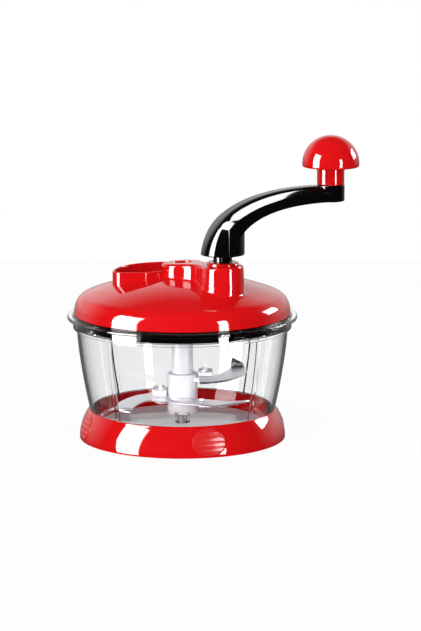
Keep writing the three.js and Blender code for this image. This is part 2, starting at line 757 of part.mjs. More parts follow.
function lidShell() {
  const crown = join(domeSolid(0), housingSolid());
  const hollow = join(domeSolid(moulded_wall), housingHollow());
  const chute_foot_z = plate_top_z + gap;
  const pinion_room_r = lobe_r - housing_wall;
  const room_top_z = lobe_top_z - housing_wall;
  const pinion_room = cylinder(pinion_room_r, chute_foot_z - overrun, room_top_z, 0, 0, ring_facets);
  const chute = cut(
    prism(chuteShape(0), chute_foot_z, chute_rim_z),
    pinion_room, gearRoom());
  const tube_r = bush_bore_r + bush_wall + gap;
  const collar = revolve([
    [0, lobe_top_z - housing_wall],
    [shaft_collar_r, lobe_top_z - housing_wall],
    [shaft_collar_r, shaft_collar_z - shaft_collar_round],
    [shaft_collar_r - shaft_collar_round, shaft_collar_z],
    [0, shaft_collar_z],
  ], body_facets, crank_x, crank_y);
  const gear_hub_top_z = gear_z + gear_hub_height;
  const tube_foot_z = gear_hub_top_z + gap;
  const tube_top_z = crank_lobe_top_z - housing_wall / 2;
  const shaft_tube = cylinder(tube_r + tube_wall, tube_foot_z, tube_top_z, crank_x, crank_y);
  const shaft_bore = cylinder(tube_r, gear_hub_top_z - overrun, shaft_collar_z + overrun, crank_x, crank_y);
  const stub_bore_r = pinion_stub_r + gap;
  const stub_tube = cylinder(stub_bore_r + tube_wall, gear_top_z + 2 * gap, lobe_top_z - housing_wall / 2);
  const stub_bore = cylinder(stub_bore_r, gear_top_z - overrun, gear_top_z + pinion_stub_rise + gap);
  const dimple = cylinder(dimple_r, lobe_top_z - dimple_depth, crank_lobe_top_z + overrun);
  const boss_ceiling = domeSolid(moulded_wall / 2);
  const bosses = screwPlaces().map(([x, y]) =>
    cylinder(screw_boss_r, plate_top_z + gap, dome_top_z, x, y, screw_facets).intersect(boss_ceiling));
  const bores = screwPlaces().map(([x, y]) =>
    cylinder(screw_r + gap, plate_top_z - overrun, plate_z + screw_length + gap, x, y, screw_facets));
  const shell = join(cut(crown, hollow), chute, collar, shaft_tube, stub_tube, bosses);
  const chute_opening = chuteOpening(chute_foot_z - overrun, chute_rim_z + overrun);
  return cut(shell, chute_opening, shaft_bore, stub_bore, dimple, bores);
}

// The space that the crank's gear sweeps
function gearRoom() {
  const room_r = crank_gear_r + gear_module + 2 * gap;
  return cylinder(room_r, plate_top_z - overrun, gear_top_z + 2 * gap, crank_x, crank_y, ring_facets);
}

// Gears: involute flanks, thinned at the pitch circle by half the backlash. The shares are
// the heights on a flank, from its foot to its tip, that the outline passes through.
const dedendum_share = 1.25;
const crank_flank_shares = [0, 1];
const pinion_flank_shares = [0, 1];

function gearShape(teeth, start, flank_shares) {
  const pitch_r = gear_module * teeth / 2;
  const base_circle_r = pitch_r * Math.cos(pressure_angle);
  const tip_r = pitch_r + gear_module;
  const root_r = pitch_r - gear_module * dedendum_share;
  const involute = (r) => {
    const slope = Math.acos(Math.min(1, base_circle_r / r));
    return Math.tan(slope) - slope;
  };
  const half_pitch = turn / teeth / 4 - gear_backlash / 4 / pitch_r + involute(pitch_r);
  const low_r = Math.max(root_r, base_circle_r);
  const points = Array.from({ length: teeth }, (_, i) => {
    const middle = start + i * turn / teeth;
    const flank = flank_shares.map((share) => {
      const r = low_r + share * (tip_r - low_r);
      return [r, half_pitch - involute(r)];
    });
    const foot = [root_r, flank[0][1] + gear_backlash / root_r];
    const side = root_r < low_r ? [foot, ...flank] : flank;
    return [
      ...side.map(([r, a]) => [r, middle - a]),
      ...side.reverse().map(([r, a]) => [r, middle + a]),
    ];
  }).flat();
  return new THREE.Shape(points.map(([r, a]) => point(r * Math.cos(a), r * Math.sin(a))));
}

function crankGear() {
  const shape = gearShape(crank_teeth, crank_side + turn / 2 + turn / crank_teeth / 2, crank_flank_shares);
  const teeth = prism(shape, gear_z, gear_top_z);
  const rim_r = crank_gear_r - gear_module - gear_rim;
  const web_low = gear_z + (gear_face - gear_web) / 2;
  const pocket = (low, high) => revolve([
    [gear_hub_r, low], [rim_r, low], [rim_r, high], [gear_hub_r, high],
  ], small_facets);
  const hub = cylinder(gear_hub_r, gear_z, gear_z + gear_hub_height);
  const bore = prism(hexagon(shaft_flat_r + gap), gear_z - overrun, gear_z + gear_hub_height + overrun);
  const pockets = [pocket(gear_z - overrun, web_low), pocket(web_low + gear_web, gear_top_z + overrun)];
  return cut(join(cut(teeth, pockets), hub), bore).translate([crank_x, crank_y, 0]);
}

function pinionGear() {
  const teeth = prism(gearShape(pinion_teeth, crank_side, pinion_flank_shares), gear_z, gear_top_z);
  const journal = cylinder(pinion_journal_r, journal_foot_z, gear_z + gear_face / 2);
  const stub = cylinder(pinion_stub_r, gear_z + gear_face / 2, gear_top_z + pinion_stub_rise);
  const driver = prism(hexagon(driver_flat_r), driver_z, journal_foot_z + gear_face / 2);
  return join(teeth, journal, stub, driver);
}

function driveShaft() {
  const foot_z = crank_bearing_z + tube_wall + gap;
  const seat_z = gear_z + gap;
  const hub_top = gear_z + gear_hub_height;
  const journal = cylinder(journal_r, foot_z, seat_z + gap);
  const seat = prism(hexagon(shaft_flat_r), seat_z, hub_top + overrun);
  const upper = cylinder(shaft_r, hub_top + gap, shaft_collar_z + gap);
  const spline = prism(splined(spline_r, spline_root_r), shaft_collar_z + gap / 2, hub_z + crank_socket);
  return join(journal, seat, upper, spline).translate([crank_x, crank_y, 0]);
}

// A plain bush for the crank's shaft, and one with a flange for the pinion's journal
function shaftBush() {
  const top = shaft_collar_z - gap;
  const foot = top - bush_height;
  const outer_r = bush_bore_r + bush_wall;
  const profile = [[bush_bore_r, foot], [outer_r, foot], [outer_r, top], [bush_bore_r, top]];
  return revolve(profile, small_facets, crank_x, crank_y);
}

function pinionBush() {
  const bore_r = pinion_journal_r + gap;
  const sleeve_r = bore_r + bush_wall;
  const seat_z = plate_top_z + gap;
  return revolve([
    [bore_r, plate_z],
    [sleeve_r, plate_z],
    [sleeve_r, seat_z],
    [sleeve_r + bush_flange_wide, seat_z],
    [sleeve_r + bush_flange_wide, seat_z + bush_flange],
    [bore_r, seat_z + bush_flange],
  ], small_facets);
}

// Blade unit

function bladeShaft() {
  const body = revolve([
    [0, hub_foot_z], [hub_r, hub_foot_z], [hub_r, hub_top_z - edge_round], [hub_r - edge_round, hub_top_z],
    [stalk_r, hub_top_z], [stalk_r, stalk_top_z], [0, stalk_top_z],
  ], body_facets);
  const arm = (low, high, side) => block(arm_reach, 2 * arm_half_width, low, high, side * arm_reach / 2, 0);
  const upper_arm = arm(upper_blade_z - gap - arm_thick, upper_blade_z - gap, 1);
  const lower_arm = arm(left_blade_z + blade_thick + gap, front_blade_z - gap, -1);
  const slot_low = upper_blade_z - gap;
  const slot_x = clamp_inner_x + arm_reach / 2;
  const slot = block(arm_reach, 2 * arm_half_width, slot_low, slot_low + blade_thick + 2 * gap, slot_x, 0);
  const recess = cylinder(hub_recess_r, hub_foot_z - overrun, hub_foot_z + hub_recess);
  const pin_bore = cylinder(pin_r + gap, hub_foot_z, pin_top_z + gap);
  const socket = prism(hexagon(driver_flat_r + gap), driver_z - gap, stalk_top_z + overrun);
  const notch_low = hub_foot_z - overrun;
  const notches = Array.from({ length: hub_notches / 2 }, (_, i) => turned(
    block(2 * hub_r + overrun, hub_notch_width, notch_low, hub_foot_z + hub_notch, 0, 0),
    (i + 1 / 2) * turn / hub_notches));
  const rivets = rivetPlaces().map((place) => rivetHole(place, place.low, place.high));
  return cut(join(body, upper_arm, lower_arm, frontArm()), slot, recess, pin_bore, socket, notches, rivets);
}

// The arm under the front blade, on the side towards its tip
function frontArm() {
  const low = front_blade_z - gap - arm_thick;
  const bar = block(front_arm_reach, arm_half_width, low, low + arm_thick, front_arm_reach / 2, 0);
  return turned(bar, front_arm_angle);
}

// Rivets: two through the upper blade, two through both lower blades, one in the front arm
function rivetPlaces() {
  const above = blade_thick + 2 * gap;
  const below = arm_thick + 2 * gap;
  const upper = { low: upper_blade_z - below, high: upper_blade_z + upper_clamp_thick + above };
  const lower = { low: left_blade_z - gap, high: front_blade_z + lower_clamp_thick + above };
  const front = { low: front_blade_z - below, high: front_blade_z + blade_thick + gap };
  return [
    { x: rivet_x, y: rivet_y, ...upper },
    { x: rivet_x, y: -rivet_y, ...upper },
    { x: -rivet_x, y: rivet_y, ...lower },
    { x: -rivet_x, y: -rivet_y, ...lower },
    {
      x: front_rivet_reach * Math.cos(front_arm_angle),
      y: front_rivet_reach * Math.sin(front_arm_angle),
      ...front,
    },
  ];
}

const rivetHole = ({ x, y }, low, high) =>
  cylinder(rivet_r + gap, low - overrun, high + overrun, x, y, rivet_facets);

function rivet({ x, y, low, high }) {
  return revolve([
    [0, low - rivet_head], [rivet_head_r, low - rivet_head], [rivet_head_r, low], [rivet_r, low],
    [rivet_r, high], [rivet_head_r, high],
    [rivet_head_r - edge_round / 2, high + rivet_head], [0, high + rivet_head],
  ], rivet_facets, x, y);
}

function clamp(blade_z, thick, side) {
  const low = blade_z + blade_thick + gap;
  const length = arm_reach - clamp_inner_x - gap;
  const x = side * (clamp_inner_x + length / 2);
  const plate = block(length, 2 * arm_half_width, low, low + thick, x, 0);
  return cut(plate, rivetPlaces().map((place) => rivetHole(place, low, low + thick)));
}

// A blade from sections that run from its back edge to its ground convex edge. Each section
// holds the two ends in plan and a rise, and the rings keep the sheet's thickness.
function bladeBody(sections, z) {
  const rings = sections.map(({ back, edge, rise }) => {
    const grind_share = Math.min(grind_limit_share, blade_grind / edge.distanceTo(back));
    const grind = edge.clone().lerp(back, grind_share);
    const at = (p, up) => new THREE.Vector3(p.x, p.y, z + rise + up);
    return [at(back, 0), at(edge, 0), at(edge, blade_edge), at(grind, blade_thick), at(back, blade_thick)];
  });
  return loft(rings);
}

// The hooked blade that is used twice. Each row holds shares of its reach: back edge along and
// across the arm, then convex edge along and across, and the share of the bent tip's rise. The
// first rows are the root, whose back edge lies along the hub.
const hook_root_shares = [[0.25, -0.57], [0.35, -0.563], [0.46, -0.525]];
const hook_shares = [
  [0.358, 0.142, 0.55, -0.467, 0],
  [0.442, -0.033, 0.65, -0.385, 0],
  [0.5, 0.017, 0.767, -0.208, 0],
  [0.55, 0.117, 0.842, -0.05, 0],
  [0.597, 0.217, 0.89, 0.083, 0],
  [0.633, 0.325, 0.917, 0.233, 0],
  [0.67, 0.442, 0.917, 0.367, 0],
  [0.693, 0.558, 0.893, 0.517, 0],
  [0.7, 0.583, 0.872, 0.553, 0.5],
  [0.708, 0.603, 0.817, 0.593, 0.8],
  [0.717, 0.617, 0.742, 0.617, 1],
];

function hookBlade(z, tip_rise) {
  const roots = hook_root_shares.map(([x, y], i) => ({
    back: point(clamp_inner_x, (i - 1) * arm_half_width),
    edge: point(x, y).multiplyScalar(hook_reach),
    rise: 0,
  }));
  const rest = hook_shares.map(([back_x, back_y, edge_x, edge_y, rise]) => ({
    back: point(back_x, back_y).multiplyScalar(hook_reach),
    edge: point(edge_x, edge_y).multiplyScalar(hook_reach),
    rise: rise * tip_rise,
  }));
  const holes = rivetPlaces().slice(0, 2).map((place) => rivetHole(place, z, z + blade_thick));
  return cut(bladeBody([...roots, ...rest], z), holes);
}

// The front blade starts on the lower arm and passes in front of the hub. Each row holds shares
// of the same reach: back edge along and across the arms' line, then convex edge.
const front_shares = [
  [-0.227, 0.142, -0.433, 0.142],
  [-0.227, 0, -0.425, -0.017],
  [-0.22, -0.1, -0.358, -0.167],
  [-0.17, -0.177, -0.222, -0.283],
  [-0.067, -0.238, -0.05, -0.492],
  [0.083, -0.25, 0.167, -0.608],
  [0.217, -0.258, 0.333, -0.7],
  [0.4, -0.308, 0.483, -0.75],
  [0.567, -0.383, 0.617, -0.692],
  [0.717, -0.4, 0.75, -0.567],
  [0.833, -0.375, 0.858, -0.467],
  [0.933, -0.33, 0.943, -0.34],
];

function frontBlade() {
  const z = front_blade_z;
  const sections = front_shares.map(([back_x, back_y, edge_x, edge_y]) => ({
    back: point(back_x, back_y).multiplyScalar(hook_reach),
    edge: point(edge_x, edge_y).multiplyScalar(hook_reach),
    rise: 0,
  }));
  const holes = rivetPlaces().slice(2).map((place) => rivetHole(place, z, z + blade_thick));
  return cut(bladeBody(sections, z), holes);
}

// Crank arm. Its outer and inner curves run from the hub's foot to the knob. Their two middle
// control points are shares: out of the hub's radius or the reach, and up of the rise.
const outer_start_shares = [-0.74, 0.65];
const outer_end_shares = [0.25, 1.045];
const inner_start_shares = [0.075, 0.61];
const inner_end_shares = [0.36, 1];

// Half of the arm's section: across as a share of the half width, and from the inner curve
// to the outer one as a share of the depth. It is half round at the hub and flat-sided with
// a broad bevel along the arm.
const section_foot_shares = [
  [1, 0.2], [0.961, 0.421], [0.857, 0.613], [0.695, 0.777], [0.375, 0.944], [0.15, 0.991],
];
const section_arm_shares = [
  [1, 0.44], [0.985, 0.52], [0.943, 0.6], [0.7, 0.875], [0.52, 0.965], [0.3, 1],
];
const section_change_share = 0.35;
const taper_start_share = 0.15;
const under_flat_share = 0.93;

function armCurves() {
  const under = crank_under_z - hub_z;
  const outer = new THREE.CubicBezierCurve(
    point(-crank_hub_r, hub_z),
    point(crank_hub_r * outer_start_shares[0], hub_z + crank_rise * outer_start_shares[1]),
    point(crank_reach * outer_end_shares[0], hub_z + crank_rise * outer_end_shares[1]),
    point(crank_reach, crank_top_z));
  const inner = new THREE.CubicBezierCurve(
    point(crank_inner_start, hub_z),
    point(crank_reach * inner_start_shares[0], hub_z + under * inner_start_shares[1]),
    point(crank_reach * inner_end_shares[0], hub_z + under * inner_end_shares[1]),
    point(crank_reach, crank_under_z));
  return { outer, inner };
}

// One ring of the arm, at a share of its length
function armRing({ outer, inner }, along) {
  const top = outer.getPoint(along);
  const low = inner.getPoint(along);
  const taper = THREE.MathUtils.smoothstep(along, taper_start_share, 1);
  const change = THREE.MathUtils.smoothstep(along, 0, section_change_share);
  const half = crank_hub_r + (crank_end_width / 2 - crank_hub_r) * taper;
  const at = (across, share) => new THREE.Vector3(
    low.x + (top.x - low.x) * share, half * across, low.y + (top.y - low.y) * share);
  const side = section_foot_shares.map(([foot_across, foot_up], i) => {
    const [arm_across, arm_up] = section_arm_shares[i];
    return [foot_across + (arm_across - foot_across) * change, foot_up + (arm_up - foot_up) * change];
  });
  return [
    at(-under_flat_share, 0),
    at(under_flat_share, 0),
    ...side.map(([across, up]) => at(across, up)),
    at(0, 1),
    ...side.reverse().map(([across, up]) => at(-across, up)),
  ];
}

function crankArm() {
  const curves = armCurves();
  const arm = loft(Array.from({ length: arm_steps + 1 }, (_, i) => armRing(curves, i / arm_steps)));
  const post = cylinder(crank_hub_r, hub_z, hub_z + crank_hub_height, 0, 0, body_facets);
  const right_half = block(crank_hub_r + overrun, 2 * crank_hub_r + overrun, hub_z - overrun,
    hub_z + crank_hub_height + overrun, (crank_hub_r + overrun) / 2, 0);
  const hub = post.intersect(right_half);
  const boss = cylinder(crank_boss_r, crank_under_z, crank_boss_top_z, crank_reach, 0, body_facets);
  const pin_hole_z = crank_boss_top_z - knob_pin_depth - gap;
  const pin_hole = cylinder(knob_pin_r + gap, pin_hole_z, crank_boss_top_z + overrun, crank_reach, 0);
  const socket_shape = splined(spline_r + gap, spline_root_r + gap);
  const socket = prism(socket_shape, hub_z - overrun, hub_z + crank_socket + gap);
  const whole = cut(join(arm, hub, boss), pin_hole);
  return cut(turned(whole, crank_direction), socket).translate([crank_x, crank_y, 0]);
}

// Knob

function knobStem() {
  const bore_r = knob_pin_r + gap;
  return revolve([
    [bore_r, knob_foot_z], [knob_stem_r - edge_round, knob_foot_z], [knob_stem_r, knob_foot_z + edge_round],
    [knob_stem_r, knob_stem_top_z], [bore_r, knob_stem_top_z],
  ], body_facets, knob_x, knob_y);
}

function knobCap() {
  const socket_r = knob_stem_r + gap;
  const head_room_r = knob_head_r + gap;
  const head_room_z = knob_stem_top_z + knob_head + 3 * gap;
  return revolve([
    [socket_r, knob_cap_z - knob_cap_lip / 2],
    [knob_lip_r, knob_cap_z - knob_cap_lip],
    ...arcPoints(0, knob_cap_z, knob_cap_r, 0, turn / 4, cap_steps).slice(0, -1),
    [0, knob_cap_z + knob_cap_r],
    [0, head_room_z],
    [head_room_r, head_room_z],
    [head_room_r, knob_stem_top_z + gap],
    [socket_r, knob_stem_top_z + gap],
  ], body_facets, knob_x, knob_y);
}

function knobPin() {
  const head_z = knob_stem_top_z + gap;
  const pin_foot_z = crank_boss_top_z - knob_pin_depth;
  return revolve([
    [0, pin_foot_z], [knob_pin_r, pin_foot_z], [knob_pin_r, head_z],
    [knob_head_r, head_z], [knob_head_r, head_z + knob_head - edge_round],
    [knob_head_r - edge_round, head_z + knob_head], [0, head_z + knob_head],
  ], small_facets, knob_x, knob_y);
}

// The assembly
const chopper = new THREE.Group();
chopper.position.x = -(knob_x + knob_cap_r - flange_r) / 2;

function add(name, body, material) {
  const mesh = new THREE.Mesh(geometryOf(body), material);
  mesh.name = name;
  chopper.add(mesh);
}

add("base_ring", baseRing(), red_abs);
quarters(foot(), turn / 8).forEach((body, i) => add(`foot_${i + 1}`, body, rubber));
add("bowl", bowlBody(), clear_styrene);
add("pivot_pin", pivotPin(), screw_steel);
add("blade_shaft", bladeShaft(), white_acetal);
add("upper_blade", hookBlade(upper_blade_z, upper_tip_rise), blade_steel);
add("left_blade", turned(hookBlade(left_blade_z, -left_tip_drop), turn / 2), blade_steel);
add("front_blade", frontBlade(), blade_steel);
add("upper_clamp", clamp(upper_blade_z, upper_clamp_thick, 1), white_acetal);
add("lower_clamp", clamp(front_blade_z, lower_clamp_thick, -1), white_acetal);
rivetPlaces().forEach((place, i) => add(`blade_rivet_${i + 1}`, rivet(place), screw_steel));
add("lid_shell", lidShell(), red_abs);
add("lid_base", lidBase(), black_abs);
screwPlaces().forEach((place, i) => add(`lid_screw_${i + 1}`, lidScrew(place), screw_steel));
add("crank_gear", crankGear(), nylon);
add("pinion", pinionGear(), nylon);
add("drive_shaft", driveShaft(), black_abs);
add("shaft_bush", shaftBush(), nylon);
add("pinion_bush", pinionBush(), nylon);
add("crank_arm", crankArm(), black_abs);
add("knob_pin", knobPin(), screw_steel);
add("knob_stem", knobStem(), red_abs);
add("knob_cap", knobCap(), red_abs);

export default chopper;
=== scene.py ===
"""Hand-crank food chopper, dressed for rendering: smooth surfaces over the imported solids.

Run as a script in Blender. Every piece is worked out in metres about the bowl's upright axis
and then moved to where that axis stands, so it lies exactly over the solid that it stands for.
"""

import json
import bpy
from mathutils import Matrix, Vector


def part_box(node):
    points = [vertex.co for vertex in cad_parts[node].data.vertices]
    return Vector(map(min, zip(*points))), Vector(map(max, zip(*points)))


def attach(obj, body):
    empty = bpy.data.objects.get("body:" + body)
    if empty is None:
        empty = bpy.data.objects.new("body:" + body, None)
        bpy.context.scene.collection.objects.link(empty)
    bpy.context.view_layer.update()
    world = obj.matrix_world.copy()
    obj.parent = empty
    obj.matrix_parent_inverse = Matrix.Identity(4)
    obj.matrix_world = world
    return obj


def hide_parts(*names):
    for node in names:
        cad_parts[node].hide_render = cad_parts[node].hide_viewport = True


bl_info = {
    "name": "Hand-Crank Food Chopper",
    "version": (1, 0, 0),
    "blender": (4, 5, 0),
    "location": "3D Viewport > Sidebar > Chopper",
    "description": "Builds the visible surfaces of a hand-crank food chopper and its studio",
    "category": "Object",
}

import bpy
import numpy as np
from mathutils import Vector, geometry

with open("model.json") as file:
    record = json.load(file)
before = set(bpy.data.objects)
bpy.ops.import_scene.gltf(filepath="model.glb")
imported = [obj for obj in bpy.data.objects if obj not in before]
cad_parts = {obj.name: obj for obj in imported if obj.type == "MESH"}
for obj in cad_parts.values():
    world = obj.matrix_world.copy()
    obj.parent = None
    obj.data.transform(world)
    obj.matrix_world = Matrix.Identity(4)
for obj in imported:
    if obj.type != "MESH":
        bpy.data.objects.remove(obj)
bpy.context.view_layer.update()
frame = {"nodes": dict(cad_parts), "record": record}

MM = 0.001
TURN = 2 * np.pi
GAP = 0.3 * MM
WALL = 2.4 * MM
SAME = 1e-9                     # metres: points that are closer than this are one point


def middle(node):
    """Centre in plan of a solid's box, as an array."""
    low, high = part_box(node)
    return np.array([(low.x + high.x) / 2, (low.y + high.y) / 2])


AXIS = middle("bowl")
CRANK = middle("shaft_bush") - AXIS
KNOB = middle("knob_cap") - AXIS
CENTRES = float(np.hypot(*CRANK))
CRANK_SIDE = float(np.arctan2(CRANK[1], CRANK[0]))
ARM = KNOB - CRANK
ARM_REACH = float(np.hypot(*ARM))
ARM_SIDE = float(np.arctan2(ARM[1], ARM[0]))


# Colours

def linear(code):
    """An sRGB hex colour as linear red, green and blue: each channel is divided by 12.92 when
    it is dark, and otherwise raised to the power 2.4 after an offset."""
    channels = np.array([int(code[i:i + 2], 16) for i in (0, 2, 4)]) / 255
    bright = ((channels + 0.055) / 1.055) ** 2.4
    return tuple(np.where(channels <= 0.04045, channels / 12.92, bright))


def shade(colour, level=1.0):
    """A colour property as a node's colour, its channels multiplied by a level and kept under 1."""
    return (*(min(1.0, channel * level) for channel in colour), 1.0)


# Profiles and surfaces

def rounded(corners, steps=6, closed=False):
    """A line through corners of (x, y, radius), each corner with a radius replaced by an arc that
    touches both sides. An extra point stands just outside each end of an arc, so that a smooth
    normal stays flat along the straight part."""
    data = np.array(corners, float)
    points, radii = data[:, :2], data[:, 2]
    count = len(points)
    line = []
    for i in range(count):
        here = points[i]
        if radii[i] <= 0 or (not closed and i in (0, count - 1)):
            line.append(here[None])
            continue
        before, after = points[i - 1] - here, points[(i + 1) % count] - here
        long_before, long_after = np.linalg.norm(before), np.linalg.norm(after)
        before, after = before / long_before, after / long_after
        half = np.arccos(np.clip(before @ after, -1, 1)) / 2
        if half > np.pi / 2 - 0.01:
            line.append(here[None])
            continue
        reach = min(radii[i] / np.tan(half), 0.49 * long_before, 0.49 * long_after)
        radius = reach * np.tan(half)
        centre = here + (before + after) / np.linalg.norm(before + after) * radius / np.sin(half)
        start, end = here + before * reach - centre, here + after * reach - centre
        first = np.arctan2(start[1], start[0])
        sweep = (np.arctan2(end[1], end[0]) - first + np.pi) % TURN - np.pi
        angles = first + sweep * np.linspace(0, 1, steps + 1)
        arc = centre + radius * np.stack([np.cos(angles), np.sin(angles)], 1)
        guard = min(0.25 * MM, 0.1 * reach)
        line += [(here + before * (reach + guard))[None], arc, (here + after * (reach + guard))[None]]
    return np.concatenate(line)


def filled(line, step):
    """The same line with extra points along each stretch that is longer than the step: the stretch
    is cut into equal parts, just enough that none is longer than the step."""
    along = np.diff(line, axis=0)
    counts = np.maximum(1, np.ceil(np.linalg.norm(along, axis=1) / step).astype(int))
    stretch = np.repeat(np.arange(len(along)), counts)
    number = np.arange(1, len(stretch) + 1) - np.repeat(np.cumsum(counts) - counts, counts)
    share = number / counts[stretch]
    return np.concatenate([line[:1], line[:-1][stretch] + along[stretch] * share[:, None]])


def sideways(along):
    """Unit vectors square to directions in a plane, on their right-hand side: x and y change
    places, the second with its sign turned, over the direction's length."""
    return np.stack([along[:, 1], -along[:, 0]], 1) / np.linalg.norm(along, axis=1)[:, None]


def rotated(plan, angle):
    """Points in plan turned about the origin: x is x times the angle's cosine less y times its
    sine, and y is x times the sine plus y times the cosine."""
    cos, sin = np.cos(angle), np.sin(angle)
    x, y = plan[..., 0], plan[..., 1]
    return np.stack([x * cos - y * sin, x * sin + y * cos], -1)


def lifted(plan, height):
    """Points in plan put at a height, which may differ from point to point."""
    return np.concatenate([plan, np.broadcast_to(height, plan.shape[:-1])[..., None]], -1)


def quads(rows, columns, wrap_rows=False):
    """Corner numbers of the cells of a grid, whose columns go all the way round, and whose rows
    do so too if they are wrapped."""
    r = np.arange(rows if wrap_rows else rows - 1)[:, None]
    c = np.arange(columns)[None]
    r1, c1 = (r + 1) % rows, (c + 1) % columns
    return np.stack([a.ravel() for a in np.broadcast_arrays(
        r * columns + c, r * columns + c1, r1 * columns + c1, r1 * columns + c)], 1)


def skin(grid, wrap_rows=False):
    """A shell from a grid of points: its points, and its faces as arrays of corner numbers. Where
    the rows aren't wrapped, the first and the last are closed: by one point if the row has shrunk
    to a point, and otherwise by a flat face."""
    rows, columns, _ = grid.shape
    points = grid.reshape(-1, 3)
    cells = quads(rows, columns, wrap_rows)
    ends = []
    if not wrap_rows:
        for row, flip in ((0, 1), (rows - 1, -1)):
            ring = (row * columns + np.arange(columns))[::flip]
            if np.ptp(grid[row], axis=0).max() < SAME:
                cells = cells[~np.isin(cells, ring).any(axis=1)]
                near = ring + flip * columns
                pole = np.full(columns, len(points))
                ends.append(np.column_stack([np.roll(near, -1), near, pole]))
                points = np.vstack([points, grid[row][:1]])
            else:
                ends.append(ring[None, ::-1])
    return points, [cells, *ends]


def carried_round(line, angles):
    """A line of radius and height carried round an upright axis: x is the radius times the cosine
    of the angle, and y the radius times its sine."""
    return np.stack([line[:, :1] * np.cos(angles), line[:, :1] * np.sin(angles),
                     np.broadcast_to(line[:, 1:], (len(line), len(angles)))], 2)


def turned(profile, count, centre=(0, 0), closed=False, shift=None):
    """A profile of radius and height turned about an upright axis: x is the radius times the
    cosine of the angle and y the radius times its sine. The count may be the angles themselves.
    The shift gives a new radius and height from the angle, radius and height."""
    angles = count if isinstance(count, np.ndarray) else np.arange(count) * TURN / count
    radius, height = (np.broadcast_to(profile[:, k, None], (len(profile), len(angles))) for k in (0, 1))
    if shift is not None:
        radius, height = shift(angles[None], radius, height)
    x, y = centre[0] + radius * np.cos(angles), centre[1] + radius * np.sin(angles)
    return skin(np.stack([x, y, height], 2), wrap_rows=closed)


def outlined(outline, rows, turn=0.0):
    """An outline in plan raised through rows of (outset, height): each row moves the outline
    along its own normals by the outset, and lifts it to the height. The whole is then turned
    about the upright axis."""
    normal = sideways(np.roll(outline, -1, 0) - np.roll(outline, 1, 0))
    plan = outline[None] + normal[None] * rows[:, None, :1]
    return skin(lifted(rotated(plan, turn), rows[:, 1:]))


def soft_block(x0, x1, y0, y1, low, high, corner, edge, turn=0.0):
    """A block with round upright corners and rounded top and bottom edges."""
    outline = rounded([(x0, y0, corner), (x1, y0, corner), (x1, y1, corner), (x0, y1, corner)],
                      5, closed=True)
    rise = rounded([(-2 * edge, low, 0), (0, low, edge), (0, high, edge), (-2 * edge, high, 0)], 4)
    return outlined(outline, rise, turn)


def cover(loops):
    """Corner numbers of triangles that fill an outline less its holes, all given in plan. Each is
    turned to face up by the sign of its area, which is half the cross product of two sides."""
    flat = np.concatenate(loops)
    corners = np.array(geometry.tessellate_polygon([[Vector((*p, 0)) for p in loop] for loop in loops]))
    a, b, c = (flat[corners[:, k]] for k in range(3))
    upward = np.cross(b - a, c - a) > 0
    return np.where(upward[:, None], corners, corners[:, ::-1])


def slab(outer, holes, low, high):
    """A flat plate between two heights, with its outline and its holes given in plan: the same
    triangles above and below, and a wall round each loop. A loop runs against the clock if its
    area, half the sum of its corners' cross products, is positive."""
    loops = [outer, *holes]
    flat = np.concatenate(loops)
    count = len(flat)
    points = np.concatenate([lifted(flat, low), lifted(flat, high)])
    top = cover(loops)
    faces = [top + count, top[:, ::-1]]
    start = 0
    for k, loop in enumerate(loops):
        after = np.roll(loop, -1, 0)
        area = np.sum(loop[:, 0] * after[:, 1] - loop[:, 1] * after[:, 0])
        ring = start + np.arange(len(loop))
        if (area > 0) != (k == 0):
            ring = ring[::-1]
        after = np.roll(ring, -1)
        faces.append(np.stack([ring, after, after + count, ring + count], 1))
        start += len(loop)
    return points, faces


def piece(name, shells, material, body, nodes, slot, sharp=None, mark=None):
    """A mesh object from closed shells. Each shell is turned right side out by the sign of its
    volume, which is the sum of its corners' triple products over fans of triangles. It is then
    moved to the bowl's axis, shaded smooth and put on its body. A mark is a named number at each
    point, for the material."""
    points, faces, start = [], [], 0
    for shell_points, groups in shells:
        fans = [shell_points[group] for group in groups]
        volume = sum(np.sum(fan[:, :1] * np.cross(fan[:, 1:-1], fan[:, 2:])) for fan in fans)
        way = 1 if volume > 0 else -1
        for group in groups:
            faces += (group[:, ::way] + start).tolist()
        points.append(shell_points + np.array([*AXIS, 0]))
        start += len(shell_points)
    mesh = bpy.data.meshes.new(name)
    mesh.from_pydata(np.concatenate(points).tolist(), [], faces)
    mesh.polygons.foreach_set("use_smooth", [True] * len(mesh.polygons))
    if sharp is not None:
        mesh.set_sharp_from_angle(angle=np.radians(sharp))
    if mark is not None:
        mesh.attributes.new(mark[0], "FLOAT", "POINT").data.foreach_set("value", mark[1])
    mesh.update()
    made = bpy.data.objects.new(name, mesh)
    bpy.context.scene.collection.objects.link(made)
    mesh.materials.append(material)
    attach(made, body)
    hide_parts(*nodes)


def smooth(low, high, x):
    """Smooth step from 0 at low to 1 at high: three times the square of the share of the way,
    less twice its cube."""
    t = np.clip((x - low) / (high - low), 0, 1)
    return t * t * (3 - 2 * t)


def spread(shares, count):
    """Smooth values between rows of a table: each column is a Catmull-Rom curve through them."""
    rows = np.array(shares, float)
    padded = np.concatenate([2 * rows[:1] - rows[1:2], rows, 2 * rows[-1:] - rows[-2:-1]])
    u = np.linspace(0, len(rows) - 1, count)
    i = np.clip(u.astype(int), 0, len(rows) - 2)
    f = (u - i)[:, None]
    a, b, c, d = (padded[i + k] for k in range(4))
    return 0.5 * (2 * b + (c - a) * f + (2 * a - 5 * b + 4 * c - d) * f ** 2
                  + (3 * b - a - 3 * c + d) * f ** 3)


def from_centre(angle, centre):
    """An angle measured from another one, between minus half a turn and half a turn."""
    return (angle - centre + np.pi) % TURN - np.pi


